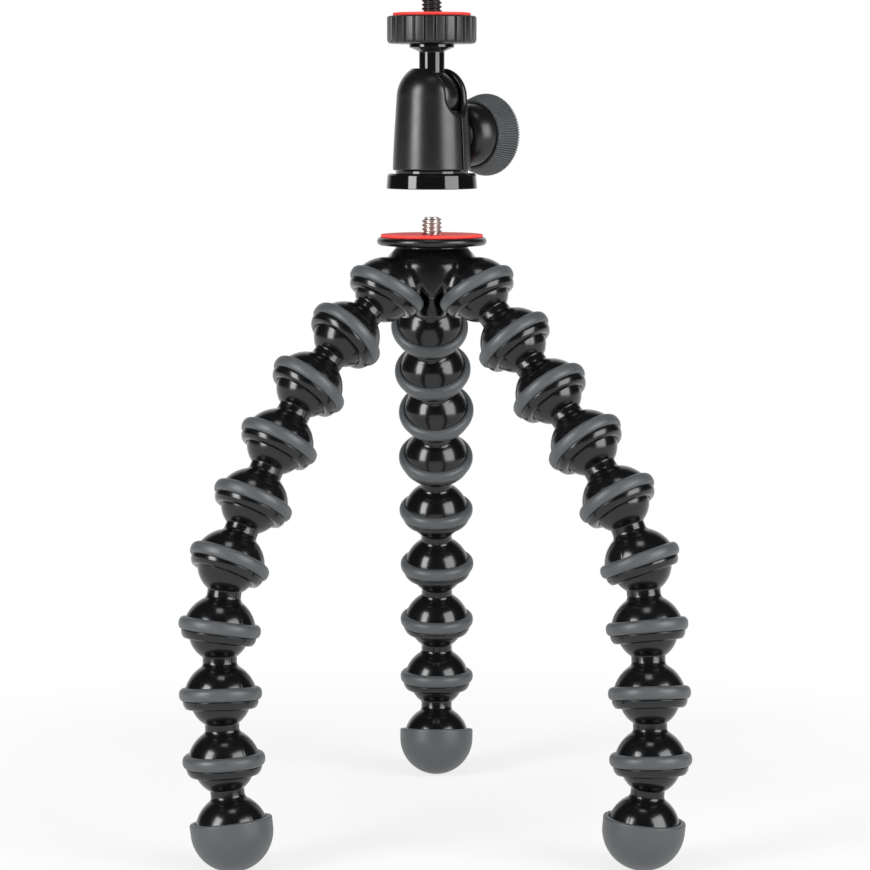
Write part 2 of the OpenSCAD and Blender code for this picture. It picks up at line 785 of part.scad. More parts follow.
hub_body();
hub_grip_rings();
base_plate();
plate_pad();
tripod_stud();
for (leg = [0:2]) for (n = [1:LINKS])
    leg_link(leg, n);
for (leg = [0:2]) {
    foot_link(leg);
    foot_pad(leg);
}
head_base();
retaining_clip();
head_housing();
ball_seat();
lock_insert();
lock_washer();
pivot_ball();
ball_stem();
camera_wheel();
wheel_pad();
camera_screw();
knob_core();
knob_grip();
lock_screw();
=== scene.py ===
"""Looks of a flexible leg tripod and its ball head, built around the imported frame.

Every piece is made in the frame's own place. Sizes are kept in millimetres and
become metres when a mesh is made.
"""

import json
import logging
import math
from collections.abc import Callable, Sequence
from dataclasses import dataclass
from enum import Enum
from typing import ClassVar

import bmesh
import bpy
import numpy as np
from mathutils import Euler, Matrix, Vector


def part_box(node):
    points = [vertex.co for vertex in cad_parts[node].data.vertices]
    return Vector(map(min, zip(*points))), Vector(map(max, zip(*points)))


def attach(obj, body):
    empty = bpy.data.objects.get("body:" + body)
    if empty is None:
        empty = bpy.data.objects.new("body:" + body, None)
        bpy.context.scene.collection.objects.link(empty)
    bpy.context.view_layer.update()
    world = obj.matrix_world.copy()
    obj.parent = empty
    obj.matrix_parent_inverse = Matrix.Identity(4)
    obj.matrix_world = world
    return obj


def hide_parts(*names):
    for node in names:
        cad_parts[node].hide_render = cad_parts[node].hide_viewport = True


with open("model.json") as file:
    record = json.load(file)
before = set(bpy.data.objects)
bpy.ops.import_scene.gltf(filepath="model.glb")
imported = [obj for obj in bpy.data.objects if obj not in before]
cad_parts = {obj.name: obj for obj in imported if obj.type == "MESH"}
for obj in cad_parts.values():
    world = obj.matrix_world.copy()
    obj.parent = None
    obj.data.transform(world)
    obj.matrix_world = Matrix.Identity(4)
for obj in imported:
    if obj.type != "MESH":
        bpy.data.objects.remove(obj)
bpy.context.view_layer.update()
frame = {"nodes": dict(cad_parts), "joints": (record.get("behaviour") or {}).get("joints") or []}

LOG = logging.getLogger("tripod")
MM = 0.001
TAU = 2 * math.pi
MERGE = 2e-7
SLIVER = 1e-8
HOLE_ROOM = 0.05


class Slot(Enum):
    """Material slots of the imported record."""

    LINK_PLASTIC = "link_plastic"
    GRIP_RUBBER = "grip_rubber"
    RED_RUBBER = "red_rubber"
    STAINLESS = "stainless"
    BLACK_METAL = "black_metal"
    SATIN_PLASTIC = "satin_plastic"
    NYLON = "nylon"
    BRASS = "brass"


class Wiring:
    """Adds nodes to a tree and joins them, so that a tree reads as a list of steps."""

    def __init__(self, tree: bpy.types.NodeTree) -> None:
        """Keeps the tree that the nodes go into."""
        self.tree = tree

    def add(self, kind: str, **settings: object) -> bpy.types.Node:
        """Adds a node.

        Args:
            kind: Blender's name of the node type.
            **settings: Properties of the node.

        Returns:
            The new node.
        """
        node = self.tree.nodes.new(kind)
        for key, value in settings.items():
            setattr(node, key, value)
        return node

    def feed(self, node: bpy.types.Node, **inputs: object) -> bpy.types.Node:
        """Sets or links inputs by their names, with spaces written as underscores.

        Args:
            node: The node to feed.
            **inputs: Sockets to link from, or plain values.

        Returns:
            The same node.
        """
        for key, value in inputs.items():
            self.put(node.inputs[key.replace("_", " ")], value)
        return node

    def put(self, socket: bpy.types.NodeSocket, value: object) -> None:
        """Links a socket to an output, or gives it a plain value.

        Args:
            socket: The input socket.
            value: An output socket or a value.
        """
        if isinstance(value, bpy.types.NodeSocket):
            self.tree.links.new(value, socket)
        else:
            socket.default_value = value

    def math(self, operation: str, *terms: object) -> bpy.types.NodeSocket:
        """Adds a Math node.

        Args:
            operation: The operation's name.
            *terms: Sockets or numbers, in order.

        Returns:
            The result's socket.
        """
        node = self.add("ShaderNodeMath", operation=operation)
        for socket, term in zip(node.inputs, terms):
            self.put(socket, term)
        return node.outputs[0]

    def ramp(
        self, value: object, low: object, high: object, smooth: bool = False
    ) -> bpy.types.NodeSocket:
        """Maps a range to 0..1 and clamps it.

        Args:
            value: What is mapped.
            low: Value that gives 0.
            high: Value that gives 1.
            smooth: Whether the ends are eased.

        Returns:
            The result's socket.
        """
        kind = "SMOOTHSTEP" if smooth else "LINEAR"
        node = self.add("ShaderNodeMapRange", interpolation_type=kind)
        for socket, term in zip(node.inputs, (value, low, high)):
            self.put(socket, term)
        return node.outputs[0]


@dataclass(frozen=True)
class Finish:
    """One surface finish: a shader with grain in its colour, gloss and relief."""

    name: str
    slot: Slot
    colour: tuple[float, float, float]
    gloss: tuple[float, float]
    grain: float = 900.0
    relief: float = 0.1
    relief_depth: float = 0.02
    drift: float = 0.12
    metallic: float = 0.0
    BROADER: ClassVar[float] = 14.0
    SPREAD: ClassVar[tuple[float, float]] = (0.7, 1.3)

    def material(self) -> bpy.types.Material:
        """Returns the finish's material, made on first use."""
        found = bpy.data.materials.get(self.name)
        return found if found else self._build()

    def _build(self) -> bpy.types.Material:
        """Builds the node tree.

        Returns:
            The new material.
        """
        made = bpy.data.materials.new(self.name)
        made.use_nodes = True
        made.diffuse_color = (*self.colour, 1.0)
        tree = made.node_tree
        wire = Wiring(tree)
        shader = next(n for n in tree.nodes if n.type == "BSDF_PRINCIPLED")
        place = wire.add("ShaderNodeTexCoord").outputs["Object"]
        fine = wire.add("ShaderNodeTexNoise")
        wire.feed(fine, Vector=place, Scale=self.grain, Detail=3.0, Roughness=0.6)
        broad = wire.add("ShaderNodeTexNoise")
        wire.feed(broad, Vector=place, Scale=self.grain / self.BROADER, Detail=2.0)
        gloss = wire.add("ShaderNodeMapRange")
        spread = wire.math("ADD", fine.outputs["Fac"], broad.outputs["Fac"])
        values = (spread, *self.SPREAD, *self.gloss)
        for socket, value in zip(gloss.inputs, values):
            wire.put(socket, value)
        tint = wire.add("ShaderNodeMix", data_type="RGBA", blend_type="MIX")
        darker = [c * (1 - self.drift) for c in self.colour]
        lighter = [min(1.0, c * (1 + self.drift)) for c in self.colour]
        colours = [s for s in tint.inputs if s.type == "RGBA"]
        wire.put(tint.inputs["Factor"], broad.outputs["Fac"])
        wire.put(colours[0], (*darker, 1.0))
        wire.put(colours[1], (*lighter, 1.0))
        mixed = next(s for s in tint.outputs if s.type == "RGBA")
        bump = wire.add("ShaderNodeBump")
        wire.feed(bump, Strength=self.relief, Height=fine.outputs["Fac"])
        bump.inputs["Distance"].default_value = self.relief_depth * MM
        wire.put(shader.inputs["Base Color"], mixed)
        wire.put(shader.inputs["Roughness"], gloss.outputs[0])
        wire.put(shader.inputs["Normal"], bump.outputs["Normal"])
        shader.inputs["Metallic"].default_value = self.metallic
        return made


LINK_BLACK = Finish(
    "moulded_link_black",
    Slot.LINK_PLASTIC,
    (0.0035, 0.0035, 0.004),
    (0.15, 0.22),
    grain=700.0,
    relief=0.05,
)
GRIP_GREY = Finish(
    "blue_grey_grip_rubber",
    Slot.GRIP_RUBBER,
    (0.064, 0.07, 0.074),
    (0.38, 0.48),
    grain=1500.0,
    relief=0.25,
    drift=0.06,
)
KNOB_GREY = Finish(
    "dark_knob_rubber",
    Slot.GRIP_RUBBER,
    (0.06, 0.065, 0.069),
    (0.42, 0.54),
    grain=1600.0,
    relief=0.2,
)
PAD_RED = Finish(
    "red_friction_pad",
    Slot.RED_RUBBER,
    (0.84, 0.045, 0.035),
    (0.5, 0.66),
    grain=1800.0,
    relief=0.3,
    drift=0.05,
)
SCREW_STEEL = Finish(
    "stainless_thread",
    Slot.STAINLESS,
    (0.62, 0.6, 0.57),
    (0.3, 0.4),
    grain=1200.0,
    metallic=1.0,
)
SCREW_BLACK = Finish(
    "blackened_screw",
    Slot.BLACK_METAL,
    (0.012, 0.012, 0.0125),
    (0.26, 0.36),
    grain=1200.0,
)
COLLAR_BLACK = Finish(
    "glossy_black_metal",
    Slot.BLACK_METAL,
    (0.0035, 0.0035, 0.004),
    (0.05, 0.09),
    grain=500.0,
    relief=0.03,
)
HOUSING_BLACK = Finish(
    "satin_grained_black",
    Slot.SATIN_PLASTIC,
    (0.005, 0.005, 0.0053),
    (0.27, 0.34),
    grain=2600.0,
    relief=0.35,
)
WHEEL_BLACK = Finish(
    "ribbed_wheel_black",
    Slot.SATIN_PLASTIC,
    (0.008, 0.0083, 0.0086),
    (0.3, 0.4),
    grain=1500.0,
    relief=0.2,
)
PLATE_BLACK = Finish(
    "plate_black",
    Slot.BLACK_METAL,
    (0.005, 0.005, 0.0053),
    (0.22, 0.3),
    grain=1100.0,
)
SEAT_NYLON = Finish(
    "black_nylon", Slot.NYLON, (0.006, 0.006, 0.006), (0.5, 0.6)
)
INSERT_BRASS = Finish(
    "turned_brass", Slot.BRASS, (0.6, 0.42, 0.16), (0.25, 0.35), metallic=1.0
)


@dataclass
class Station:
    """A point of a half section, in millimetres, with its corner radius and marks."""

    radius: float
    height: float
    corner: float = 0.0
    rib: float = 0.0
    thread: float = 0.0
    seam: float = 0.0


class Outline:
    """Half section of a turned piece, walked from one end to the other."""

    CORNER_STEPS = 6
    CORNER_REACH = 0.47
    GUARD = 0.05
    GUARD_SHARE = 0.2

    def __init__(self) -> None:
        """Starts with no stations."""
        self.stations: list[Station] = []

    def to(
        self, radius: float, height: float, corner: float = 0.0, **marks: float
    ) -> "Outline":
        """Adds a station.

        Args:
            radius: Distance from the axis.
            height: Height along the axis.
            corner: Radius of the rounding at this station.
            **marks: Shares of rib, thread and seam here.

        Returns:
            The outline itself.
        """
        self.stations.append(Station(radius, height, corner, **marks))
        return self

    def line(
        self, radius: float, height: float, steps: int, **marks: float
    ) -> "Outline":
        """Adds a straight run of stations from the last one.

        Args:
            radius: Radius at the end.
            height: Height at the end.
            steps: Number of stations.
            **marks: Shares of rib, thread and seam on the run.

        Returns:
            The outline itself.
        """
        last = self.stations[-1]
        for n in range(1, steps + 1):
            share = n / steps
            self.to(
                last.radius + (radius - last.radius) * share,
                last.height + (height - last.height) * share,
                **marks,
            )
        return self

    def arc(
        self,
        centre: tuple[float, float],
        radius: float,
        start: float,
        end: float,
        steps: int,
        **marks: float,
    ) -> "Outline":
        """Adds an arc.

        Args:
            centre: Radius and height of its centre.
            radius: Radius of the arc.
            start: First angle in degrees from straight up, towards the outside.
            end: Last angle.
            steps: Number of steps.
            **marks: Shares of rib, thread and seam on the arc.

        Returns:
            The outline itself.
        """
        for n in range(steps + 1):
            turn = math.radians(start + (end - start) * n / steps)
            self.to(
                centre[0] + radius * math.sin(turn),
                centre[1] + radius * math.cos(turn),
                **marks,
            )
        return self

    def resolved(self) -> tuple[np.ndarray, np.ndarray]:
        """Rounds the corners.

        Returns:
            Points as radius and height, and the marks of each.
        """
        spots: list[np.ndarray] = []
        marks: list[tuple[float, float, float]] = []
        raw = [np.array((s.radius, s.height)) for s in self.stations]
        for n, station in enumerate(self.stations):
            if station.corner > 0 and 0 < n < len(raw) - 1:
                run = self._rounding(raw[n - 1], raw[n], raw[n + 1], station.corner)
            else:
                run = [raw[n]]
            spots.extend(run)
            marks.extend([(station.rib, station.thread, station.seam)] * len(run))
        return np.array(spots), np.array(marks)

    def _rounding(
        self, before: np.ndarray, here: np.ndarray, after: np.ndarray, corner: float
    ) -> list[np.ndarray]:
        """Points of one rounded corner, with a guard point on either side.

        Args:
            before: The station before the corner.
            here: The corner.
            after: The station after it.
            corner: Radius of the rounding.

        Returns:
            The points, in order.
        """
        back, on = before - here, after - here
        back_length, on_length = np.linalg.norm(back), np.linalg.norm(on)
        back, on = back / back_length, on / on_length
        half = math.acos(float(np.clip(back @ on, -1, 1))) / 2
        room = self.CORNER_REACH * min(back_length, on_length)
        reach = min(corner / math.tan(half), room)
        radius = reach * math.tan(half)
        middle = back + on
        centre = here + middle / np.linalg.norm(middle) * radius / math.sin(half)
        first, last = here + back * reach, here + on * reach
        sweep = math.pi - 2 * half
        guard = min(self.GUARD, self.GUARD_SHARE * reach)
        points = [first + back * guard]
        for n in range(self.CORNER_STEPS + 1):
            share = n / self.CORNER_STEPS
            near = math.sin((1 - share) * sweep) / math.sin(sweep)
            far = math.sin(share * sweep) / math.sin(sweep)
            points.append(centre + (first - centre) * near + (last - centre) * far)
        points.append(last + on * guard)
        return points


class TurnedTree:
    """Geometry Nodes tree that turns a half section about its axis into a solid.

    The section's marks say where the surface carries ribs, a thread or a mould seam.
    """

    NAME = "turned_piece"
    MARKS = "marks"
    INPUTS = (
        ("Segments", "NodeSocketInt"),
        ("Rows", "NodeSocketInt"),
        ("Gather", "NodeSocketFloat"),
        ("Spin", "NodeSocketFloat"),
        ("Ribs", "NodeSocketInt"),
        ("Rib Depth", "NodeSocketFloat"),
        ("Groove Share", "NodeSocketFloat"),
        ("Pitch", "NodeSocketFloat"),
        ("Thread Depth", "NodeSocketFloat"),
        ("Seam Height", "NodeSocketFloat"),
        ("Turn", "NodeSocketVector"),
        ("Place", "NodeSocketVector"),
        ("Finish", "NodeSocketMaterial"),
    )
    GROOVE_FLOOR = 0.12
    FLANK = (0.14, 0.84)

    def __init__(self) -> None:
        """Builds the tree and keeps the identifiers of its inputs."""
        self.tree = bpy.data.node_groups.new(self.NAME, "GeometryNodeTree")
        face = self.tree.interface
        face.new_socket("Section", in_out="INPUT", socket_type="NodeSocketGeometry")
        self.sockets = {
            name: face.new_socket(name, in_out="INPUT", socket_type=kind).identifier
            for name, kind in self.INPUTS
        }
        face.new_socket("Solid", in_out="OUTPUT", socket_type="NodeSocketGeometry")
        self._build()

    def _build(self) -> None:
        """Wires the tree up, from the grid to the placed solid."""
        wire = Wiring(self.tree)
        given = wire.add("NodeGroupInput").outputs
        index = wire.add("GeometryNodeInputIndex").outputs[0]
        column = wire.math("FLOOR", wire.math("DIVIDE", index, given["Rows"]))
        row = wire.math("SUBTRACT", index, wire.math("MULTIPLY", column, given["Rows"]))
        share = wire.math("DIVIDE", column, given["Segments"])
        whole = wire.math("MULTIPLY", share, TAU)
        wave = wire.math("SINE", wire.math("MULTIPLY", whole, 2.0))
        pull = wire.math(
            "MULTIPLY", wave, wire.math("MULTIPLY", given["Gather"], -0.5)
        )
        turn = wire.math("ADD", wire.math("ADD", whole, pull), given["Spin"])
        spot = self._sample(wire, given["Section"], row, None)
        marks = self._sample(wire, given["Section"], row, self.MARKS)
        radius = spot["X"]
        for cut in (
            self._groove(wire, given, whole, marks["X"]),
            self._thread(wire, given, turn, spot["Z"], marks["Y"]),
            self._seam(wire, given, column, marks["Z"]),
        ):
            radius = wire.math("SUBTRACT", radius, cut)
        where = wire.feed(
            wire.add("ShaderNodeCombineXYZ"),
            X=wire.math("MULTIPLY", radius, wire.math("COSINE", turn)),
            Y=wire.math("MULTIPLY", radius, wire.math("SINE", turn)),
            Z=spot["Z"],
        )
        grid = wire.feed(
            wire.add("GeometryNodeMeshGrid"),
            Vertices_X=wire.math("ADD", given["Segments"], 1.0),
            Vertices_Y=given["Rows"],
        )
        shaped = wire.feed(
            wire.add("GeometryNodeSetPosition"),
            Geometry=grid.outputs["Mesh"],
            Position=where.outputs[0],
        )
        joined = wire.feed(
            wire.add("GeometryNodeMergeByDistance"),
            Geometry=shaped.outputs[0],
            Distance=MERGE,
        )
        smooth = wire.feed(
            wire.add("GeometryNodeSetShadeSmooth"), Geometry=joined.outputs[0]
        )
        turned = wire.feed(
            wire.add("FunctionNodeEulerToRotation"), Euler=given["Turn"]
        )
        placed = wire.feed(
            wire.add("GeometryNodeTransform"),
            Geometry=smooth.outputs[0],
            Translation=given["Place"],
            Rotation=turned.outputs[0],
        )
        real = wire.feed(
            wire.add("GeometryNodeRealizeInstances"), Geometry=placed.outputs[0]
        )
        dressed = wire.feed(
            wire.add("GeometryNodeSetMaterial"),
            Geometry=real.outputs[0],
            Material=given["Finish"],
        )
        wire.put(wire.add("NodeGroupOutput").inputs[0], dressed.outputs[0])

    def _sample(
        self,
        wire: Wiring,
        section: bpy.types.NodeSocket,
        row: bpy.types.NodeSocket,
        attribute: str | None,
    ) -> dict[str, bpy.types.NodeSocket]:
        """Reads the section at a row.

        Args:
            wire: The tree's wiring.
            section: The section's geometry.
            row: Number of the section's point.
            attribute: Name of an attribute, or nothing for the position.

        Returns:
            The X, Y and Z sockets.
        """
        if attribute:
            read = wire.add("GeometryNodeInputNamedAttribute", data_type="FLOAT_VECTOR")
            read.inputs["Name"].default_value = attribute
        else:
            read = wire.add("GeometryNodeInputPosition")
        sample = wire.add(
            "GeometryNodeSampleIndex", data_type="FLOAT_VECTOR", domain="POINT"
        )
        wire.feed(sample, Geometry=section, Value=read.outputs[0], Index=row)
        parts = wire.add("ShaderNodeSeparateXYZ")
        wire.put(parts.inputs[0], sample.outputs[0])
        return {axis: parts.outputs[axis] for axis in "XYZ"}

    def _groove(
        self,
        wire: Wiring,
        given: bpy.types.bpy_prop_collection,
        whole: bpy.types.NodeSocket,
        mark: bpy.types.NodeSocket,
    ) -> bpy.types.NodeSocket:
        """Depth of the grooves between ribs.

        Args:
            wire: The tree's wiring.
            given: The tree's inputs.
            whole: Angle around the axis.
            mark: Share of the ribs here.

        Returns:
            The depth's socket.
        """
        turns = wire.math("DIVIDE", whole, TAU)
        phase = wire.math("FRACT", wire.math("MULTIPLY", turns, given["Ribs"]))
        apart = wire.math("ABSOLUTE", wire.math("SUBTRACT", phase, 0.5))
        half = wire.math("MULTIPLY", given["Groove Share"], 0.5)
        inner = wire.math("MULTIPLY", given["Groove Share"], self.GROOVE_FLOOR)
        groove = wire.ramp(apart, half, inner, smooth=True)
        depth = wire.math("MULTIPLY", groove, given["Rib Depth"])
        return wire.math("MULTIPLY", depth, mark)

    def _thread(
        self,
        wire: Wiring,
        given: bpy.types.bpy_prop_collection,
        turn: bpy.types.NodeSocket,
        height: bpy.types.NodeSocket,
        mark: bpy.types.NodeSocket,
    ) -> bpy.types.NodeSocket:
        """Depth of the thread.

        Args:
            wire: The tree's wiring.
            given: The tree's inputs.
            turn: Angle around the axis.
            height: Height along the axis.
            mark: Share of the thread here.

        Returns:
            The depth's socket.
        """
        turns = wire.math("DIVIDE", turn, TAU)
        along = wire.math("DIVIDE", height, given["Pitch"])
        phase = wire.math("FRACT", wire.math("SUBTRACT", along, turns))
        flank = wire.math(
            "ABSOLUTE",
            wire.math("SUBTRACT", wire.math("MULTIPLY", phase, 2.0), 1.0),
        )
        tooth = wire.ramp(flank, *self.FLANK)
        depth = wire.math("MULTIPLY", tooth, given["Thread Depth"])
        return wire.math("MULTIPLY", depth, mark)

    def _seam(
        self,
        wire: Wiring,
        given: bpy.types.bpy_prop_collection,
        column: bpy.types.NodeSocket,
        mark: bpy.types.NodeSocket,
    ) -> bpy.types.NodeSocket:
        """Rise of the mould seam, as a negative depth, on two opposite columns.

        Args:
            wire: The tree's wiring.
            given: The tree's inputs.
            column: Number of the column around the axis.
            mark: Share of the seam here.

        Returns:
            The depth's socket.
        """
        half = wire.math("MULTIPLY", given["Segments"], 0.5)
        rest = wire.math("MODULO", column, half)
        on_seam = wire.math("LESS_THAN", rest, 0.5)
        rise = wire.math("MULTIPLY", on_seam, given["Seam Height"])
        return wire.math("MULTIPLY", rise, wire.math("MULTIPLY", mark, -1.0))


@dataclass
class Turning:
    """How an outline is turned: place, direction and pattern, in millimetres."""

    place: Sequence[float] = (0.0, 0.0, 0.0)
    turn: Sequence[float] = (0.0, 0.0, 0.0)
    segments: int = 96
    gather: float = 0.0
    spin: float = 0.0
    ribs: int = 0
    rib_depth: float = 0.0
    groove_share: float = 0.5
    pitch: float = 1.27
    thread_depth: float = 0.0
    seam_height: float = 0.0


class Lathe:
    """Turns outlines into plain meshes through the Geometry Nodes tree."""

    def __init__(self) -> None:
        """Makes the tree."""
        self.tree = TurnedTree()

    def turn(
        self, name: str, outline: Outline, finish: Finish, how: Turning
    ) -> bpy.types.Object:
        """Turns one outline.

        Args:
            name: Name of the piece.
            outline: Its half section.
            finish: Its finish.
            how: Place, direction and pattern.

        Returns:
            The piece, a plain mesh at the origin.
        """
        spots, marks = outline.resolved()
        mesh = bpy.data.meshes.new(name)
        points = [(r * MM, 0.0, z * MM) for r, z in spots]
        mesh.from_pydata(points, [(n, n + 1) for n in range(len(points) - 1)], [])
        layer = mesh.attributes.new(TurnedTree.MARKS, "FLOAT_VECTOR", "POINT")
        layer.data.foreach_set("vector", marks.astype(np.float32).ravel())
        piece = bpy.data.objects.new(name, mesh)
        bpy.context.scene.collection.objects.link(piece)
        modifier = piece.modifiers.new("turning", "NODES")
        modifier.node_group = self.tree.tree
        values = {
            "Segments": how.segments,
            "Rows": len(points),
            "Gather": how.gather,
            "Spin": how.spin,
            "Ribs": how.ribs,
            "Rib Depth": how.rib_depth * MM,
            "Groove Share": how.groove_share,
            "Pitch": how.pitch * MM,
            "Thread Depth": how.thread_depth * MM,
            "Seam Height": how.seam_height * MM,
            "Turn": tuple(how.turn),
            "Place": tuple(c * MM for c in how.place),
            "Finish": finish.material(),
        }
        for key, value in values.items():
            modifier[self.tree.sockets[key]] = value
        depsgraph = bpy.context.evaluated_depsgraph_get()
        made = bpy.data.meshes.new_from_object(piece.evaluated_get(depsgraph))
        piece.modifiers.clear()
        piece.data = made
        bpy.data.meshes.remove(mesh)
        made.name = name
        tidy_mesh(made)
        return piece


def tidy_mesh(mesh: bpy.types.Mesh) -> None:
    """Merges doubles and turns all faces outwards.

    Args:
        mesh: The mesh to tidy in place.
    """
    work = bmesh.new()
    work.from_mesh(mesh)
    bmesh.ops.remove_doubles(work, verts=work.verts, dist=MERGE)
    bmesh.ops.dissolve_degenerate(work, edges=work.edges, dist=SLIVER)
    bmesh.ops.recalc_face_normals(work, faces=work.faces)
    for face in work.faces:
        face.smooth = True
    work.to_mesh(mesh)
    work.free()


def mesh_piece(
    name: str, points: np.ndarray, faces: Sequence[Sequence[int]], finish: Finish
) -> bpy.types.Object:
    """Makes a piece from points in metres.

    Args:
        name: Name of the piece.
        points: Its points.
        faces: Its faces as point numbers.
        finish: Its finish.

    Returns:
        The piece.
    """
    mesh = bpy.data.meshes.new(name)
    mesh.from_pydata(points.tolist(), [], [list(map(int, f)) for f in faces])
    mesh.materials.append(finish.material())
    tidy_mesh(mesh)
    piece = bpy.data.objects.new(name, mesh)
    bpy.context.scene.collection.objects.link(piece)
    return piece


def join_pieces(name: str, parts: Sequence[bpy.types.Object]) -> bpy.types.Object:
    """Joins plain meshes of one finish into the first.

    Args:
        name: Name of the joined piece.
        parts: The pieces to join.

    Returns:
        The joined piece.
    """
    work = bmesh.new()
    for part in parts:
        work.from_mesh(part.data)
    first = parts[0]
    work.to_mesh(first.data)
    work.free()
    for part in parts[1:]:
        mesh = part.data
        bpy.data.objects.remove(part)
        bpy.data.meshes.remove(mesh)
    first.name = name
    first.data.name = name
    return first


def dress(piece: bpy.types.Object, body: str, finish: Finish, *nodes: str) -> None:
    """Puts a piece on its body in place of its nodes, and reports it.

    Args:
        piece: The finished piece.
        body: Name of the body that it rides on.
        finish: Its finish; not used.
        *nodes: Names of the nodes that it stands for.
    """
    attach(piece, body)
    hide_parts(*nodes)
    LOG.info("%s: %d faces on %s", piece.name, len(piece.data.polygons), body)


def joint_place(name: str) -> Vector:
    """Place of a joint at rest.

    Args:
        name: Name of the joint.

    Returns:
        Its place in millimetres.
    """
    joint = next(j for j in frame["joints"] if j["name"] == name)
    return Vector(joint["pos_m"]) / MM


def box_centre(node: str) -> Vector:
    """Centre of a node's box in millimetres."""
    low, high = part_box(node)
    return (low + high) / 2 / MM


class SurfaceNet:
    """Meshes a smooth solid that is given as a field, negative inside."""

    CORNERS = tuple((x, y, z) for x in (0, 1) for y in (0, 1) for z in (0, 1))
    SLOPE = 0.01
    FLATTEST = 0.2
    SETTLES = 3
    ROUNDS = 3

    def __init__(self, field: Callable[[np.ndarray], np.ndarray], step: float) -> None:
        """Keeps the field and how finely it is meshed.

        Args:
            field: Gives a value for each row of points.
            step: Size of the grid's cells.
        """
        self.field = field
        self.step = step

    def mesh(
        self, low: Sequence[float], high: Sequence[float]
    ) -> tuple[np.ndarray, np.ndarray]:
        """Meshes the solid inside a box.

        Args:
            low: Lowest corner of the box.
            high: Highest corner.

        Returns:
            Points and four-sided faces.
        """
        start = np.array(low, float)
        counts = np.ceil((np.array(high) - start) / self.step).astype(int) + 1
        axes = [start[n] + self.step * np.arange(counts[n]) for n in range(3)]
        grid = np.stack(np.meshgrid(*axes, indexing="ij"), -1)
        values = self.field(grid.reshape(-1, 3)).reshape(counts)
        inside = values < 0
        cells, numbers = self._cells(inside)
        points = start + self.step * (cells + self._crossings(values, cells))
        faces = self._faces(inside, numbers)
        points = self._settle(points)
        for _ in range(self.ROUNDS):
            points = self._settle(self._even(points, faces))
        return points, faces

    def _cells(self, inside: np.ndarray) -> tuple[np.ndarray, np.ndarray]:
        """Finds the cells that the surface passes through.

        Args:
            inside: Whether each grid point is inside.

        Returns:
            The cells, and the number of each cell in a grid.
        """
        nx, ny, nz = (n - 1 for n in inside.shape)
        total = np.zeros((nx, ny, nz), int)
        for x, y, z in self.CORNERS:
            total += inside[x : nx + x, y : ny + y, z : nz + z]
        crossed = (total > 0) & (total < len(self.CORNERS))
        numbers = np.full(crossed.shape, -1)
        numbers[crossed] = np.arange(int(crossed.sum()))
        return np.argwhere(crossed), numbers

    def _crossings(self, values: np.ndarray, cells: np.ndarray) -> np.ndarray:
        """Mean of the points at which the surface crosses each cell's edges.

        Args:
            values: The field on the grid.
            cells: The crossed cells.

        Returns:
            A place inside each cell, from 0 to 1 along each axis.
        """
        total = np.zeros((len(cells), 3))
        count = np.zeros(len(cells))
        at = {c: values[tuple((cells + c).T)] for c in self.CORNERS}
        for corner in self.CORNERS:
            for axis in range(3):
                if corner[axis]:
                    continue
                other = tuple(1 if n == axis else corner[n] for n in range(3))
                near, far = at[corner], at[other]
                cross = (near < 0) != (far < 0)
                share = near[cross] / (near[cross] - far[cross])
                spot = np.tile(np.array(corner, float), (int(cross.sum()), 1))
                spot[:, axis] = share
                total[cross] += spot
                count[cross] += 1
        return total / count[:, None]

    def _faces(self, inside: np.ndarray, numbers: np.ndarray) -> np.ndarray:
        """Joins the cells around every crossed grid edge.

        Args:
            inside: Whether each grid point is inside.
            numbers: Number of each crossed cell.

        Returns:
            Four-sided faces that point outwards.
        """
        faces = []
        for axis in range(3):
            side, up = (axis + 1) % 3, (axis + 2) % 3
            near = np.take(inside, range(inside.shape[axis] - 1), axis)
            far = np.take(inside, range(1, inside.shape[axis]), axis)
            edges = np.argwhere(near != far)
            edges = edges[(edges[:, side] > 0) & (edges[:, up] > 0)]
            limits = np.array(numbers.shape)
            edges = edges[np.all(edges < limits, 1)]
            step_side = np.eye(3, dtype=int)[side]
            step_up = np.eye(3, dtype=int)[up]
            ring = (
                edges,
                edges - step_side,
                edges - step_side - step_up,
                edges - step_up,
            )
            quads = np.stack([numbers[tuple(r.T)] for r in ring], 1)
            inner = near[tuple(edges.T)]
            quads[~inner] = quads[~inner][:, ::-1]
            faces.append(quads)
        return np.concatenate(faces)

    def _settle(self, points: np.ndarray) -> np.ndarray:
        """Moves the points onto the surface.

        Args:
            points: Points near it.

        Returns:
            The moved points.
        """
        for _ in range(self.SETTLES):
            value = self.field(points)
            slope = np.stack(
                [
                    self.field(points + d) - self.field(points - d)
                    for d in np.eye(3) * self.SLOPE
                ],
                1,
            ) / (2 * self.SLOPE)
            size = np.maximum((slope**2).sum(1), self.FLATTEST)
            move = slope * (value / size)[:, None]
            points = points - np.clip(move, -self.step, self.step)
        return points

    def _even(self, points: np.ndarray, faces: np.ndarray) -> np.ndarray:
        """Moves each point half way to the mean of its neighbours.

        Args:
            points: The mesh's points.
            faces: Its faces.

        Returns:
            The moved points.
        """
        total = np.zeros_like(points)
        count = np.zeros(len(points))
        for n in range(4):
            for other in ((n + 1) % 4, (n + 3) % 4):
                np.add.at(total, faces[:, n], points[faces[:, other]])
                np.add.at(count, faces[:, n], 1)
        return (points + total / np.maximum(count, 1)[:, None]) / 2


def blend_low(a: np.ndarray, b: np.ndarray, width: float) -> np.ndarray:
    """The lower of two fields, with a fillet where they meet.

    Args:
        a: One field.
        b: The other.
        width: Width of the fillet.

    Returns:
        The joined field.
    """
    near = np.maximum(width - np.abs(a - b), 0) / width
    return np.minimum(a, b) - near * near * width / 4


def blend_high(a: np.ndarray, b: np.ndarray, width: float) -> np.ndarray:
    """The higher of two fields, with a rounded edge where they meet."""
    return -blend_low(-a, -b, width)


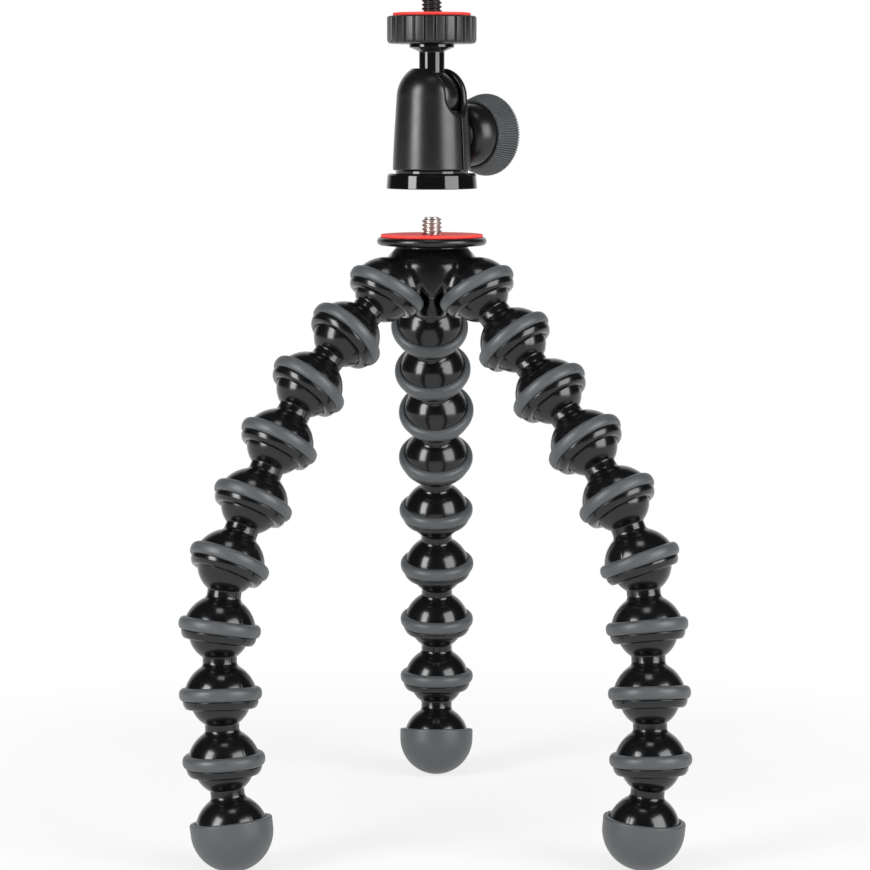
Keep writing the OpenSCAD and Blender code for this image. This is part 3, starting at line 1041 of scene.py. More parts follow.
@dataclass(frozen=True)
class CupShape:
    """Sizes that all cups share: links, hub and feet."""

    ball_r: float = 9.35
    socket_r: float = 9.5
    dome_r: float = 11.15
    neck_r: float = 5.2
    neck_top_fillet: float = 0.6
    neck_low_fillet: float = 1.6
    core_r: float = 4.2
    core_depth: float = 12.0
    ring_r: float = 12.6
    ring_low: float = -0.75
    ring_high: float = 3.35
    ring_middle: float = 1.3
    ring_power: float = 2.3
    lip_r: float = 11.55
    lip_top: float = -0.8
    lip_round: float = 3.4
    lip_start: float = 96.0
    mouth: float = -3.4
    mouth_round: float = 0.2
    rim: float = 0.9
    rim_round: float = 0.1
    rim_bevel: float = 2.0
    core_round: float = 0.6
    core_bevel: float = 8.0
    edge: float = 0.3
    neck_blend: float = 4.0
    ring_room: float = 0.02

    def ball_and_neck(self, outline: Outline, pitch: float) -> None:
        """Walks the ball, the neck and the start of the dome below it.

        Args:
            outline: The outline to add to, empty so far.
            pitch: Distance from the ball's centre to the dome's.
        """
        core_floor = self.ball_r - self.core_depth
        outline.to(0.0, core_floor).to(self.core_r, core_floor, self.core_round)
        rim = math.degrees(math.asin(self.core_r / self.ball_r))
        outline.to(self.core_r, self.ball_r * math.cos(math.radians(rim)), self.edge)
        high, low = self.neck_top_fillet, self.neck_low_fillet
        ball_end = math.degrees(
            math.asin((self.neck_r + high) / (self.ball_r + high))
        )
        ball_drop = math.sqrt((self.ball_r + high) ** 2 - (self.neck_r + high) ** 2)
        dome_start = math.degrees(
            math.asin((self.neck_r + low) / (self.dome_r + low))
        )
        dome_rise = math.sqrt((self.dome_r + low) ** 2 - (self.neck_r + low) ** 2)
        outline.arc((0.0, 0.0), self.ball_r, rim + self.core_bevel, 180 - ball_end, 30)
        centre = (self.neck_r + high, -ball_drop)
        outline.arc(centre, high, -ball_end - self.neck_blend, -90.0, 6, seam=1.0)
        centre = (self.neck_r + low, dome_rise - pitch)
        low_end = dome_start + self.neck_blend - 180
        outline.arc(centre, low, -90.0, low_end, 8, seam=1.0)
        self.dome(outline, -pitch, dome_start)

    def dome(self, outline: Outline, height: float, start: float) -> None:
        """Walks the dome down to the lip.

        Args:
            outline: The outline to add to.
            height: Height of the dome's centre.
            start: Angle from straight up at which the dome starts.
        """
        end = 90 + math.degrees(math.asin(-self.lip_top / self.dome_r))
        outline.arc((0.0, height), self.dome_r, start, end, 22, seam=1.0)

    def lip_and_socket(self, outline: Outline, height: float) -> None:
        """Walks the lip, the mouth with its inner rim, and the socket.

        Args:
            outline: The outline to add to.
            height: Height of the cup's centre.
        """
        top = height + self.lip_top
        outline.to(self.lip_r, top, self.edge)
        hub = (self.lip_r - self.lip_round, top)
        drop = self.lip_top - self.mouth - self.mouth_round
        end = 90 + math.degrees(math.asin(drop / self.lip_round))
        outline.arc(hub, self.lip_round, self.lip_start, end, 10)
        mouth_r = math.sqrt(self.socket_r**2 - self.mouth**2)
        outline.to(mouth_r + self.rim, height + self.mouth, self.mouth_round)
        outline.to(mouth_r, height + self.mouth, self.rim_round)
        start = 90 + math.degrees(math.asin(-self.mouth / self.socket_r))
        outline.arc((0.0, height), self.socket_r, start - self.rim_bevel, 0.0, 26)

    def ring(self, height: float) -> Outline:
        """Half section of a grip ring.

        Args:
            height: Height of the cup's centre.

        Returns:
            The closed outline.
        """
        outline = Outline()
        middle = height + self.ring_middle
        seat = self.dome_r + self.ring_room
        for side, rim in ((-1, self.ring_low), (1, self.ring_high)):
            inner = math.sqrt(seat**2 - rim**2)
            reach = self.ring_r - inner
            half = abs(rim - self.ring_middle)
            steps = 12
            for n in range(steps + 1):
                turn = math.radians(90 * (n if side > 0 else steps - n) / steps)
                outline.to(
                    inner + reach * math.cos(turn) ** (2 / self.ring_power),
                    middle + side * half * math.sin(turn) ** (2 / self.ring_power),
                )
        first = math.degrees(math.acos(self.ring_high / seat))
        last = math.degrees(math.acos(self.ring_low / seat))
        outline.arc((0.0, height), seat, first, last, 8)
        return outline


@dataclass
class LegChain:
    """One leg: eight links with grip rings, then the foot link and its pad."""

    name: str
    turn: float
    foot_turn: float
    foot_tilt: float
    shape: CupShape = CupShape()
    links: int = 8
    foot_pitch: float = 20.334
    foot_r: float = 12.6
    foot_rim: float = 3.2
    plug_floor: float = -9.65
    plug_start: float = 98.0
    pad_end: float = 92.0
    pad_step: float = 0.02
    pad_band: float = 1.0
    pad_round: float = 0.75
    pad_flat: float = 1.3
    pad_rise: float = 0.1
    pad_edge: float = 0.3
    pad_lip: float = 0.25
    pad_bevel: float = 3.0
    seam_spin: float = 96.0
    seam_height: float = 0.07
    gather: float = 0.72
    segments: int = 96

    def build(self, lathe: Lathe) -> None:
        """Builds and dresses the whole leg.

        Args:
            lathe: What turns the pieces.
        """
        joints = [
            joint_place(f"{self.name}_ball_{n}") for n in range(1, self.links + 2)
        ]
        for n in range(1, self.links + 1):
            self._link(lathe, n, joints[n - 1], joints[n])
        self._foot(lathe, joints[-1])

    def _moulding(self, ball: Vector, tilt: float, turn: float) -> Turning:
        """How a moulding is turned, its seams facing the same way all down the leg.

        Args:
            ball: Centre of its ball.
            tilt: Tilt of its axis from straight down, in radians.
            turn: Direction of that tilt, in radians.

        Returns:
            Place, direction and seam.
        """
        return Turning(
            place=ball,
            turn=(0.0, -tilt, turn),
            segments=self.segments,
            gather=self.gather,
            spin=math.radians(self.turn + self.seam_spin) - turn,
            seam_height=self.seam_height,
        )

    def _link(self, lathe: Lathe, number: int, ball: Vector, cup: Vector) -> None:
        """Builds one link and its ring.

        Args:
            lathe: What turns the pieces.
            number: Number of the link from the hub.
            ball: Centre of its ball.
            cup: Centre of its cup.
        """
        down = cup - ball
        pitch = down.length
        tilt, turn = math.acos(-down.z / pitch), math.atan2(down.y, down.x)
        body = f"{self.name}_link_{number}"
        node = f"{self.name}_leg_link_{number}"
        outline = Outline()
        self.shape.ball_and_neck(outline, pitch)
        self.shape.lip_and_socket(outline, -pitch)
        how = self._moulding(ball, tilt, turn)
        moulding = lathe.turn(f"{body}_moulding", outline, LINK_BLACK, how)
        dress(moulding, body, LINK_BLACK, node)
        how = Turning(place=ball, turn=(0.0, -tilt, turn), segments=self.segments)
        ring = lathe.turn(f"{body}_grip_ring", self.shape.ring(-pitch), GRIP_GREY, how)
        dress(ring, body, GRIP_GREY, node)

    def _foot(self, lathe: Lathe, ball: Vector) -> None:
        """Builds the foot link and its pad.

        Args:
            lathe: What turns the pieces.
            ball: Centre of the foot link's ball.
        """
        tilt, turn = math.radians(self.foot_tilt), math.radians(self.foot_turn)
        body = f"{self.name}_foot"
        link = Outline()
        shape = self.shape
        shape.ball_and_neck(link, self.foot_pitch)
        plug_r = math.sqrt(shape.dome_r**2 - self.plug_floor**2)
        end = math.degrees(math.acos(self.plug_floor / shape.dome_r))
        link.arc((0.0, -self.foot_pitch), shape.dome_r, self.plug_start, end, 10)
        link.to(plug_r, self.plug_floor - self.foot_pitch)
        link.to(0.0, self.plug_floor - self.foot_pitch)
        how = self._moulding(ball, tilt, turn)
        moulding = lathe.turn(f"{body}_moulding", link, LINK_BLACK, how)
        dress(moulding, body, LINK_BLACK, f"{self.name}_foot_link")
        how = Turning(place=ball, turn=(0.0, -tilt, turn), segments=self.segments)
        pad = lathe.turn(f"{body}_rubber_pad", self._pad(), GRIP_GREY, how)
        dress(pad, body, GRIP_GREY, f"{self.name}_foot_pad")

    def _pad(self) -> Outline:
        """Half section of the foot pad, a hollow half ball with a rim.

        Returns:
            The outline.
        """
        middle = -self.foot_pitch
        top = middle + self.foot_rim
        inner = self.shape.dome_r + HOLE_ROOM
        outer = self.foot_r + self.pad_step
        inside = self.foot_rim - self.pad_lip
        floor = self.plug_floor - HOLE_ROOM
        outline = Outline()
        outline.arc((0.0, middle), self.foot_r, 180.0, self.pad_end, 40)
        outline.to(outer, top - self.pad_band).to(outer, top, self.pad_round)
        outline.to(self.foot_r - self.pad_flat, top + self.pad_rise, self.pad_edge)
        outline.to(math.sqrt(inner**2 - inside**2), middle + inside)
        start = math.degrees(math.acos(inside / inner)) + self.pad_bevel
        end = math.degrees(math.acos(floor / inner))
        outline.arc((0.0, middle), inner, start, end, 24)
        outline.to(0.0, middle + floor)
        return outline


@dataclass
class Hub:
    """The three-cup hub with its rings, plate, pad and stud."""

    shape: CupShape = CupShape()
    tilt: float = 32.0
    plate_rise: float = 14.45
    waist_r: float = 11.5
    waist_h: float = 0.9
    shoulder_r: float = 14.7
    flare_h: float = 6.5
    flare_bend: float = 0.6
    belly_swell: float = 1.1
    belly_fall: float = 7.0
    belly_low: float = -2.2
    belly_round: float = 1.2
    tip_round: float = 1.2
    tip_slope: float = 1.5
    tip_half: float = 3.2
    core_slope: float = 0.85
    post_r: float = 4.4
    post_low: float = -8.0
    post_round: float = 0.6
    dome_low: float = -0.6
    socket_room: float = 0.1
    cup_overlap: float = 0.3
    cup_start: float = 84.0
    ring_room: float = 0.4
    fillet: float = 2.4
    edge: float = 1.3
    step: float = 0.38
    span: float = 30.0
    margin: float = 0.7
    plate_r: float = 17.3
    plate_h: float = 2.6
    plate_arc_end: float = 12.0
    plate_flat: float = 0.2
    plate_drop: float = 0.02
    pad_r: float = 16.1
    pad_h: float = 0.9
    stud_r: float = 3.175
    stud_h: float = 5.4
    stud_root: float = 8.0
    stud_head_w: float = 9.4
    stud_head_h: float = 3.0
    thread_gap: float = 0.1
    thread_depth: float = 0.62
    pitch: float = 1.27
    legs: tuple[str, ...] = ("left", "right", "rear")

    def __post_init__(self) -> None:
        """Takes the hub's axis and its cups from the frame."""
        self.cups = [joint_place(f"{leg}_ball_1") for leg in self.legs]
        middle = box_centre("base_plate")
        self.axis = Vector((middle.x, middle.y, self.cups[0].z))
        self.plate_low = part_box("base_plate")[0].z / MM

    def build(self, lathe: Lathe) -> None:
        """Builds and dresses the hub's pieces.

        Args:
            lathe: What turns the round pieces.
        """
        self._body(lathe)
        rings = [
            lathe.turn(f"hub_ring_{n}", self.shape.ring(0.0), GRIP_GREY, self._at_cup(n))
            for n in range(len(self.cups))
        ]
        dress(
            join_pieces("hub_cup_grips", rings), "stand", GRIP_GREY, "hub_grip_rings"
        )
        self._plate(lathe)
        self._stud(lathe)

    def _at_cup(self, number: int) -> Turning:
        """How a piece is turned around a hub cup.

        Args:
            number: Number of the cup.

        Returns:
            Place and direction.
        """
        out = self.cups[number] - self.axis
        turn = (0.0, -math.radians(self.tilt), math.atan2(out.y, out.x))
        return Turning(place=self.cups[number], turn=turn)

    def _core_line(self) -> tuple[np.ndarray, np.ndarray]:
        """Radius of the hub's core by height over the cup centres.

        Returns:
            Heights in rising order, and radii.
        """
        high = self.plate_rise - self.waist_h
        heights = np.linspace(self.post_low, high, 97)
        drop = high - heights
        bend = np.clip(drop / self.flare_h, 0, 1) ** self.flare_bend
        flare = (self.shoulder_r - self.waist_r) * (0.5 - 0.5 * np.cos(math.pi * bend))
        swell = self.belly_swell * (1 - np.exp(-drop / self.belly_fall))
        return heights, self.waist_r + flare + swell

    def _core(self, points: np.ndarray) -> np.ndarray:
        """The hub's middle: waist, shoulder, three panels with V tips, and a post.

        Args:
            points: Points in millimetres from the hub's axis at the cups' height.

        Returns:
            A value for each point, negative inside.
        """
        height = points[:, 2]
        reach = np.hypot(points[:, 0], points[:, 1])
        core = self.core_slope * (reach - np.interp(height, *self._core_line()))
        core = np.maximum(core, height - self.plate_rise)
        around = np.arctan2(points[:, 1], points[:, 0])
        gaps = [math.atan2(*(self.axis - cup).yx) for cup in self.cups]
        off = np.min([np.abs(np.sin((around - gap) / 2)) for gap in gaps], axis=0)
        side = np.hypot(np.minimum(2 * reach * off, self.tip_half), self.tip_round)
        tip = (self.belly_low - self.tip_round + self.tip_slope * side) - height
        core = blend_high(core, tip / self.tip_slope, self.belly_round)
        post = blend_high(reach - self.post_r, self.post_low - height, self.post_round)
        post = np.maximum(post, height - self.plate_rise)
        return blend_low(core, post, self.fillet)

    def _about_cup(
        self, points: np.ndarray, cup: Vector
    ) -> tuple[np.ndarray, np.ndarray, np.ndarray]:
        """Where points lie about a cup.

        Args:
            points: Points in millimetres from the hub's axis at the cups' height.
            cup: Centre of the cup.

        Returns:
            Distance from the centre, height along the cup's axis, and the room for its
            ring as a field, negative inside.
        """
        away = points - np.array(cup - self.axis)
        out = np.array((cup - self.axis).normalized())
        lean = math.radians(self.tilt)
        up = np.array((0, 0, math.cos(lean))) - out * math.sin(lean)
        along = away @ up
        square = (away**2).sum(1)
        across = np.sqrt(np.maximum(square - along**2, 0))
        room = np.maximum(
            across - self.shape.ring_r - self.ring_room,
            along - self.shape.ring_high - self.ring_room,
        )
        return np.sqrt(square), along, room

    def field(self, points: np.ndarray) -> np.ndarray:
        """The hub's upper body: the core and three domes, joined with fillets.

        Args:
            points: Points in millimetres from the hub's axis at the cups' height.

        Returns:
            A value for each point, negative inside.
        """
        solid = self._core(points)
        cups = [self._about_cup(points, cup) for cup in self.cups]
        for _, _, room in cups:
            solid = blend_high(solid, -room, self.edge)
        for distance, along, _ in cups:
            dome = np.maximum(distance - self.shape.dome_r, self.dome_low - along)
            solid = blend_low(solid, dome, self.fillet)
        for distance, _, room in cups:
            seat = np.maximum(room, self.shape.dome_r + HOLE_ROOM - distance)
            solid = np.maximum(solid, -seat)
            hollow = self.shape.socket_r + self.socket_room - distance
            solid = np.maximum(solid, hollow)
        return solid

    def _body(self, lathe: Lathe) -> None:
        """Builds the hub's moulding: the filleted body and three turned cups.

        Args:
            lathe: What turns the cups.
        """
        net = SurfaceNet(self.field, self.step)
        low = (-self.span, -self.span, self.post_low - self.margin)
        high = (self.span, self.span, self.plate_rise + self.margin)
        points, faces = net.mesh(low, high)
        placed = (points + np.array(self.axis)) * MM
        parts = [mesh_piece("hub_moulding", placed, faces, LINK_BLACK)]
        for n in range(len(self.cups)):
            cup = Outline()
            inner = self.shape.dome_r - self.cup_overlap
            cup.arc((0.0, 0.0), inner, 0.0, self.cup_start, 16)
            self.shape.dome(cup, 0.0, 90.0)
            self.shape.lip_and_socket(cup, 0.0)
            parts.append(lathe.turn(f"hub_cup_{n}", cup, LINK_BLACK, self._at_cup(n)))
        dress(join_pieces("hub_moulding", parts), "stand", LINK_BLACK, "hub_body")

    def _plate(self, lathe: Lathe) -> None:
        """Builds the plate and its red pad.

        Args:
            lathe: What turns them.
        """
        how = Turning(place=(self.axis.x, self.axis.y, self.plate_low), segments=160)
        hole = self.stud_r + HOLE_ROOM
        rim = self.plate_h / 2
        plate = Outline()
        plate.to(hole, 0.0)
        plate.to(self.plate_r - 3 * rim, 0.0)
        plate.arc((self.plate_r - rim, rim), rim, 180.0, self.plate_arc_end, 18)
        plate.to(self.plate_r - rim - self.plate_flat, self.plate_h - self.plate_drop)
        plate.to(hole, self.plate_h).to(hole, 0.0)
        piece = lathe.turn("hub_plate", plate, PLATE_BLACK, how)
        dress(piece, "stand", PLATE_BLACK, "base_plate")
        pad = friction_pad(hole, self.pad_r, self.plate_h, self.plate_h + self.pad_h)
        piece = lathe.turn("hub_red_pad", pad, PAD_RED, how)
        dress(piece, "stand", PAD_RED, "plate_pad")

    def _stud(self, lathe: Lathe) -> None:
        """Builds the threaded stud with its moulded-in hexagonal head.

        Args:
            lathe: What turns it.
        """
        place = (self.axis.x, self.axis.y, self.plate_low)
        head = Outline()
        head.to(0.0, -self.stud_root)
        corner = self.stud_head_w / math.sqrt(3)
        head.to(corner, -self.stud_root)
        head.to(corner, self.stud_head_h - self.stud_root)
        head.to(0.0, self.stud_head_h - self.stud_root)
        base = lathe.turn(
            "stud_head", head, SCREW_STEEL, Turning(place=place, segments=6)
        )
        screw = ScrewEnd().outline(
            self.stud_r,
            self.stud_head_h - self.stud_root,
            self.plate_h + self.thread_gap,
            self.plate_h + self.pad_h + self.stud_h,
        )
        how = Turning(
            place=place, segments=72, pitch=self.pitch, thread_depth=self.thread_depth
        )
        stud = lathe.turn("stud_thread", screw, SCREW_STEEL, how)
        piece = join_pieces("hub_stud", [stud, base])
        dress(piece, "stand", SCREW_STEEL, "tripod_stud")


def friction_pad(hole: float, radius: float, low: float, high: float) -> Outline:
    """Half section of a red friction pad with rounded upper edges.

    Args:
        hole: Radius of its hole.
        radius: Its outer radius.
        low: Height of its underside.
        high: Height of its upper side.

    Returns:
        The closed outline.
    """
    rim_round, hole_round = 0.28, 0.2
    pad = Outline()
    pad.to(hole, low).to(radius, low).to(radius, high, rim_round)
    return pad.to(hole, high, hole_round).to(hole, low)


@dataclass(frozen=True)
class ScrewEnd:
    """A screw's free end with a chamfered tip, its sizes taken off the thread's radius."""

    tip: float = 1.25
    tip_round: float = 0.1
    chamfer: float = 0.7
    chamfer_h: float = 0.22
    chamfer_thread: float = 0.1
    lead_h: float = 0.75
    lead_rows: int = 7
    root: float = 0.4
    root_gap: float = 0.1
    rows_to_mm: int = 14

    def outline(self, radius: float, low: float, start: float, top: float) -> Outline:
        """Half section of the end.

        Args:
            radius: Radius over the thread.
            low: Height of its lower end.
            start: Height at which the thread starts.
            top: Height of its tip.

        Returns:
            The outline, with the thread marked.
        """
        screw = Outline()
        rows = int((top - start) * self.rows_to_mm)
        screw.to(0.0, top).to(radius - self.tip, top, self.tip_round)
        edge = top - self.chamfer_h
        screw.to(radius - self.chamfer, edge, thread=self.chamfer_thread)
        screw.line(radius, top - self.lead_h, self.lead_rows, thread=1.0)
        screw.line(radius, start, rows, thread=1.0)
        root = radius - self.root
        return screw.to(root, start - self.root_gap).to(root, low).to(0.0, low)


@dataclass
class HeadSizes:
    """Heights and turn of the ball head, over its collar's underside."""

    ball_z: float = 28.35
    knob_z: float = 16.65
    turn: float = -37.0

    def __post_init__(self) -> None:
        """Takes the head's place from the frame."""
        middle = box_centre("head_base")
        self.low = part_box("head_base")[0].z / MM
        self.place = Vector((middle.x, middle.y, self.low))
        self.aim = (0.0, 0.0, math.radians(self.turn))

    def turning(self, **settings: object) -> Turning:
        """How a piece on the head's axis is turned."""
        return Turning(place=self.place, turn=self.aim, **settings)

    def knob_turning(self, **settings: object) -> Turning:
        """How a piece on the knob's axis is turned."""
        place = self.place + Vector((0, 0, self.knob_z))
        turn = (-math.pi / 2, 0.0, math.radians(self.turn))
        return Turning(place=place, turn=turn, **settings)


@dataclass
class HeadBase:
    """The glossy collar that the head stands on, with its spigot and threaded hole."""

    head: HeadSizes
    collar_r: float = 14.3
    collar_h: float = 4.8
    collar_lean: float = 0.3
    collar_chamfer: float = 0.6
    step_r: float = 11.4
    step_top: float = 5.6
    spigot_r: float = 8.85
    spigot_top: float = 9.6
    hole_r: float = 3.3
    hole_top: float = 6.6
    groove_low: float = 6.95
    groove_high: float = 8.25
    groove_r: float = 8.2
    hole_round: float = 0.4
    low_flat: float = 0.5
    low_round: float = 0.35
    lean_round: float = 0.12
    chamfer_round: float = 0.15
    step_round: float = 0.1
    spigot_round: float = 0.2

    def build(self, lathe: Lathe) -> None:
        """Builds and dresses the collar.

        Args:
            lathe: What turns it.
        """
        base = Outline()
        base.to(0.0, self.hole_top).to(self.hole_r, self.hole_top)
        base.to(self.hole_r, 0.0, self.hole_round)
        base.to(self.collar_r - self.low_flat, 0.0)
        base.to(self.collar_r, 0.0, self.low_round)
        side = self.collar_r - self.collar_lean
        base.to(side, self.collar_h - self.collar_chamfer, self.lean_round)
        base.to(side - self.collar_chamfer, self.collar_h, self.chamfer_round)
        base.to(self.step_r, self.collar_h, self.step_round)
        base.to(self.step_r, self.step_top, self.step_round)
        base.to(self.spigot_r, self.step_top, self.step_round)
        base.to(self.spigot_r, self.groove_low).to(self.groove_r, self.groove_low)
        base.to(self.groove_r, self.groove_high).to(self.spigot_r, self.groove_high)
        base.to(self.spigot_r, self.spigot_top, self.spigot_round)
        base.to(0.0, self.spigot_top)
        how = self.head.turning(segments=160)
        piece = lathe.turn("head_collar", base, COLLAR_BLACK, how)
        dress(piece, "head_base", COLLAR_BLACK, "head_base")


@dataclass
class HeadHousing:
    """The satin housing: a bell with a drop notch, a clamping slit and a throat."""

    head: HeadSizes
    foot_z: float = 5.75
    foot_r: float = 12.3
    bore_r: float = 9.0
    socket_r: float = 8.85
    dome_r: float = 11.05
    throat_r: float = 5.7
    notch_half: float = 4.9
    slit_half: float = 0.35
    notch_round: float = 1.5
    slit_round: float = 0.28
    throat_round: float = 0.7
    foot_round: float = 0.5
    swell_power: float = 1.3
    near_columns: int = 22
    near_reach: float = 3.2
    near_power: float = 1.6
    far_columns: int = 46
    FOOT_ROWS: ClassVar[tuple[float, ...]] = (0.0, 0.05, 0.15, 0.3, 0.5, 0.6)
    SIDE_ROOM: ClassVar[tuple[float, float]] = (1.2, 2.2)
    NOTCH_ROWS: ClassVar[tuple[float, ...]] = (1.7, 1.3, 1.0, 0.75, 0.5, 0.3, 0.15, 0.05)
    THROAT_SPAN: ClassVar[tuple[float, float]] = (0.04, 0.9)
    THROAT_ROWS: ClassVar[tuple[float, ...]] = (0.93, 0.96, 0.98, 0.99, 1.0)
    NO_EDGE: ClassVar[float] = 99.0

    def build(self) -> None:
        """Builds and dresses the housing."""
        rows = self._rows()
        outer = np.stack([self._row(row, True) for row in rows])
        inner = np.stack([self._row(row, False) for row in rows])
        count, width = outer.shape[:2]
        points = np.concatenate([outer.reshape(-1, 3), inner.reshape(-1, 3)])
        shift = count * width
        faces: list[tuple[int, ...]] = []
        for n in range(count - 1):
            for m in range(width - 1):
                a, b = n * width + m, (n + 1) * width + m
                faces.append((a, a + 1, b + 1, b))
                faces.append((shift + a, shift + b, shift + b + 1, shift + a + 1))
            for m in (0, width - 1):
                a, b = n * width + m, (n + 1) * width + m
                faces.append((a, b, shift + b, shift + a))
        for n in (0, count - 1):
            for m in range(width - 1):
                a = n * width + m
                faces.append((a, a + 1, shift + a + 1, shift + a))
        turn = np.array(Euler(self.head.aim).to_matrix())
        placed = (points @ turn.T + np.array(self.head.place)) * MM
        piece = mesh_piece("head_bell_housing", placed, faces, HOUSING_BLACK)
        dress(piece, "head_housing", HOUSING_BLACK, "head_housing")

    def _bell(self, height: float) -> float:
        """Outer radius of the housing's side.

        Args:
            height: Height over the collar's underside.

        Returns:
            The radius.
        """
        share = (self.head.ball_z - height) / (self.head.ball_z - self.foot_z)
        swell = 1 - (1 - share) ** self.swell_power
        return self.dome_r + (self.foot_r - self.dome_r) * swell

    def _rows(self) -> list[tuple[float, float, float, float]]:
        """Rows of the wall from foot to throat.

        Returns:
            Outer radius and height, then inner radius and height, of each row.
        """
        ball = self.head.ball_z
        bottom = ball - self.notch_half
        over, under = self.SIDE_ROOM
        heights = [self.foot_z + d for d in self.FOOT_ROWS]
        heights += list(np.linspace(self.foot_z + over, bottom - under, 12))
        heights += [bottom - d for d in self.NOTCH_ROWS]
        lowest = math.degrees(math.acos(self.slit_half / self.notch_half))
        for turn in np.linspace(-lowest, 0.0, 26):
            heights.append(ball + self.notch_half * math.sin(math.radians(turn)))
        rows = []
        for z in heights:
            rise = min(1.0, (z - self.foot_z) / self.foot_round)
            inset = self.foot_round * (1 - math.sqrt(1 - (1 - rise) ** 2))
            rows.append((self._bell(z) - inset, z, self.bore_r, z))
        outer_end = math.acos(self.throat_r / self.dome_r)
        inner_end = math.acos(self.throat_r / self.socket_r)
        for share in (*np.linspace(*self.THROAT_SPAN, 24), *self.THROAT_ROWS):
            out, into = outer_end * share, inner_end * share
            rows.append(
                (
                    self.dome_r * math.cos(out),
                    ball + self.dome_r * math.sin(out),
                    self.socket_r * math.cos(into),
                    ball + self.socket_r * math.sin(into),
                )
            )
        return rows

    def _half_width(self, height: float) -> float:
        """Half the width of the opening at a height.

        Args:
            height: Height over the collar's underside.

        Returns:
            Half of the slit or of the notch.
        """
        drop = self.head.ball_z - height
        if drop <= 0:
            return self.notch_half
        if drop >= self.notch_half:
            return self.slit_half
        return max(self.slit_half, math.sqrt(self.notch_half**2 - drop**2))

    def _row(self, row: tuple[float, float, float, float], outer: bool) -> np.ndarray:
        """Points of one row, from one edge of the opening round to the other.

        Args:
            row: Radii and heights of the row.
            outer: Whether the outer wall is wanted.

        Returns:
            The points, the opening towards +X.
        """
        radius, height = row[:2] if outer else row[2:]
        half = self._half_width(height)
        start = math.asin(min(1.0, half / radius))
        spread = np.linspace(0, 1, self.near_columns) ** self.near_power
        near = start + self.near_reach / radius * spread
        far = np.linspace(near[-1], math.pi, self.far_columns)[1:]
        angles = np.concatenate([near, far])
        angles = np.concatenate([angles, TAU - angles[-2::-1]])
        points = np.stack(
            [
                radius * np.cos(angles),
                radius * np.sin(angles),
                np.full(len(angles), height),
            ],
            1,
        )
        return self._rolled(points) if outer else points

    def _rolled(self, points: np.ndarray) -> np.ndarray:
        """Rolls the outer wall in at the edges of its openings.

        Args:
            points: Points of a row.

        Returns:
            The moved points.
        """
        ball = self.head.ball_z
        drop = np.minimum(points[:, 2] - ball, 0)
        front = points[:, 0] > 0
        notch = np.hypot(points[:, 1], drop) - self.notch_half
        notch = np.where(front, notch, self.NO_EDGE)
        slit = np.where(front, np.abs(points[:, 1]) - self.slit_half, self.NO_EDGE)
        throat = np.hypot(points[:, 0], points[:, 1]) - self.throat_r
        inset = np.maximum.reduce(
            [
                self._roll(notch, self.notch_round),
                self._roll(slit, self.slit_round),
                self._roll(throat, self.throat_round),
            ]
        )
        heart = np.zeros_like(points)
        heart[:, 2] = np.minimum(points[:, 2], ball)
        inward = heart - points
        inward /= np.linalg.norm(inward, axis=1)[:, None]
        return points + inward * inset[:, None]

    @staticmethod
    def _roll(distance: np.ndarray, radius: float) -> np.ndarray:
        """Drop of a rounded edge at a distance from it.

        Args:
            distance: Distance from the edge.
            radius: Radius of the rounding.

        Returns:
            The drop.
        """
        left = np.clip(radius - distance, 0, radius)
        return radius - np.sqrt(radius**2 - left**2)


@dataclass
class BallAndStem:
    """The head's ball, its stem, and the flange that carries the wheel."""

    head: HeadSizes
    ball_r: float = 8.7
    stem_r: float = 4.0
    bore_r: float = 2.65
    bore_depth: float = 7.0
    cone_low: float = 14.396
    cone_high: float = 15.696
    flange_r: float = 7.05
    flange_top: float = 16.696
    spindle_r: float = 3.0
    spindle_h: float = 2.4
    rivet_r: float = 4.2
    rivet_h: float = 1.2
    edge: float = 0.15
    seat_round: float = 0.12
    ball_bevel: float = 2.0
    stem_gap: float = 0.05
    root_gap: float = 0.25
    root_round: float = 0.3
    stem_round: float = 0.1
    cone_round: float = 0.35

    def build(self, lathe: Lathe) -> None:
        """Builds and dresses the ball and the stem.

        Args:
            lathe: What turns them.
        """
        middle = self.head.ball_z
        foot = math.sqrt(self.ball_r**2 - self.stem_r**2)
        ball = Outline()
        ball.to(0.0, middle + foot - self.bore_depth)
        ball.to(self.bore_r, middle + foot - self.bore_depth)
        ball.to(self.bore_r, middle + foot, self.edge)
        ball.to(self.stem_r, middle + foot, self.seat_round)
        rim = math.degrees(math.asin(self.stem_r / self.ball_r))
        ball.arc((0.0, middle), self.ball_r, rim + self.ball_bevel, 180.0, 48)
        how = self.head.turning(segments=128)
        piece = lathe.turn("head_pivot_ball", ball, PLATE_BLACK, how)
        dress(piece, "ball", PLATE_BLACK, "pivot_ball")
        stem = Outline()
        root = middle + foot + self.stem_gap
        tail = root + self.root_gap - self.bore_depth
        tail_r = self.bore_r - self.edge
        stem.to(0.0, tail).to(tail_r, tail, self.root_round)
        stem.to(tail_r, root).to(self.stem_r, root, self.stem_round)
        stem.to(self.stem_r, middle + self.cone_low, self.cone_round)
        stem.to(self.flange_r, middle + self.cone_high, self.seat_round)
        stem.to(self.flange_r, middle + self.flange_top, self.edge)
        top = middle + self.flange_top
        stem.to(self.spindle_r, top).to(self.spindle_r, top + self.spindle_h)
        stem.to(self.rivet_r, top + self.spindle_h, self.edge)
        stem.to(self.rivet_r, top + self.spindle_h + self.rivet_h, self.root_round)
        stem.to(0.0, top + self.spindle_h + self.rivet_h)
        piece = lathe.turn("head_stem", stem, COLLAR_BLACK, how)
        dress(piece, "stem", COLLAR_BLACK, "ball_stem")


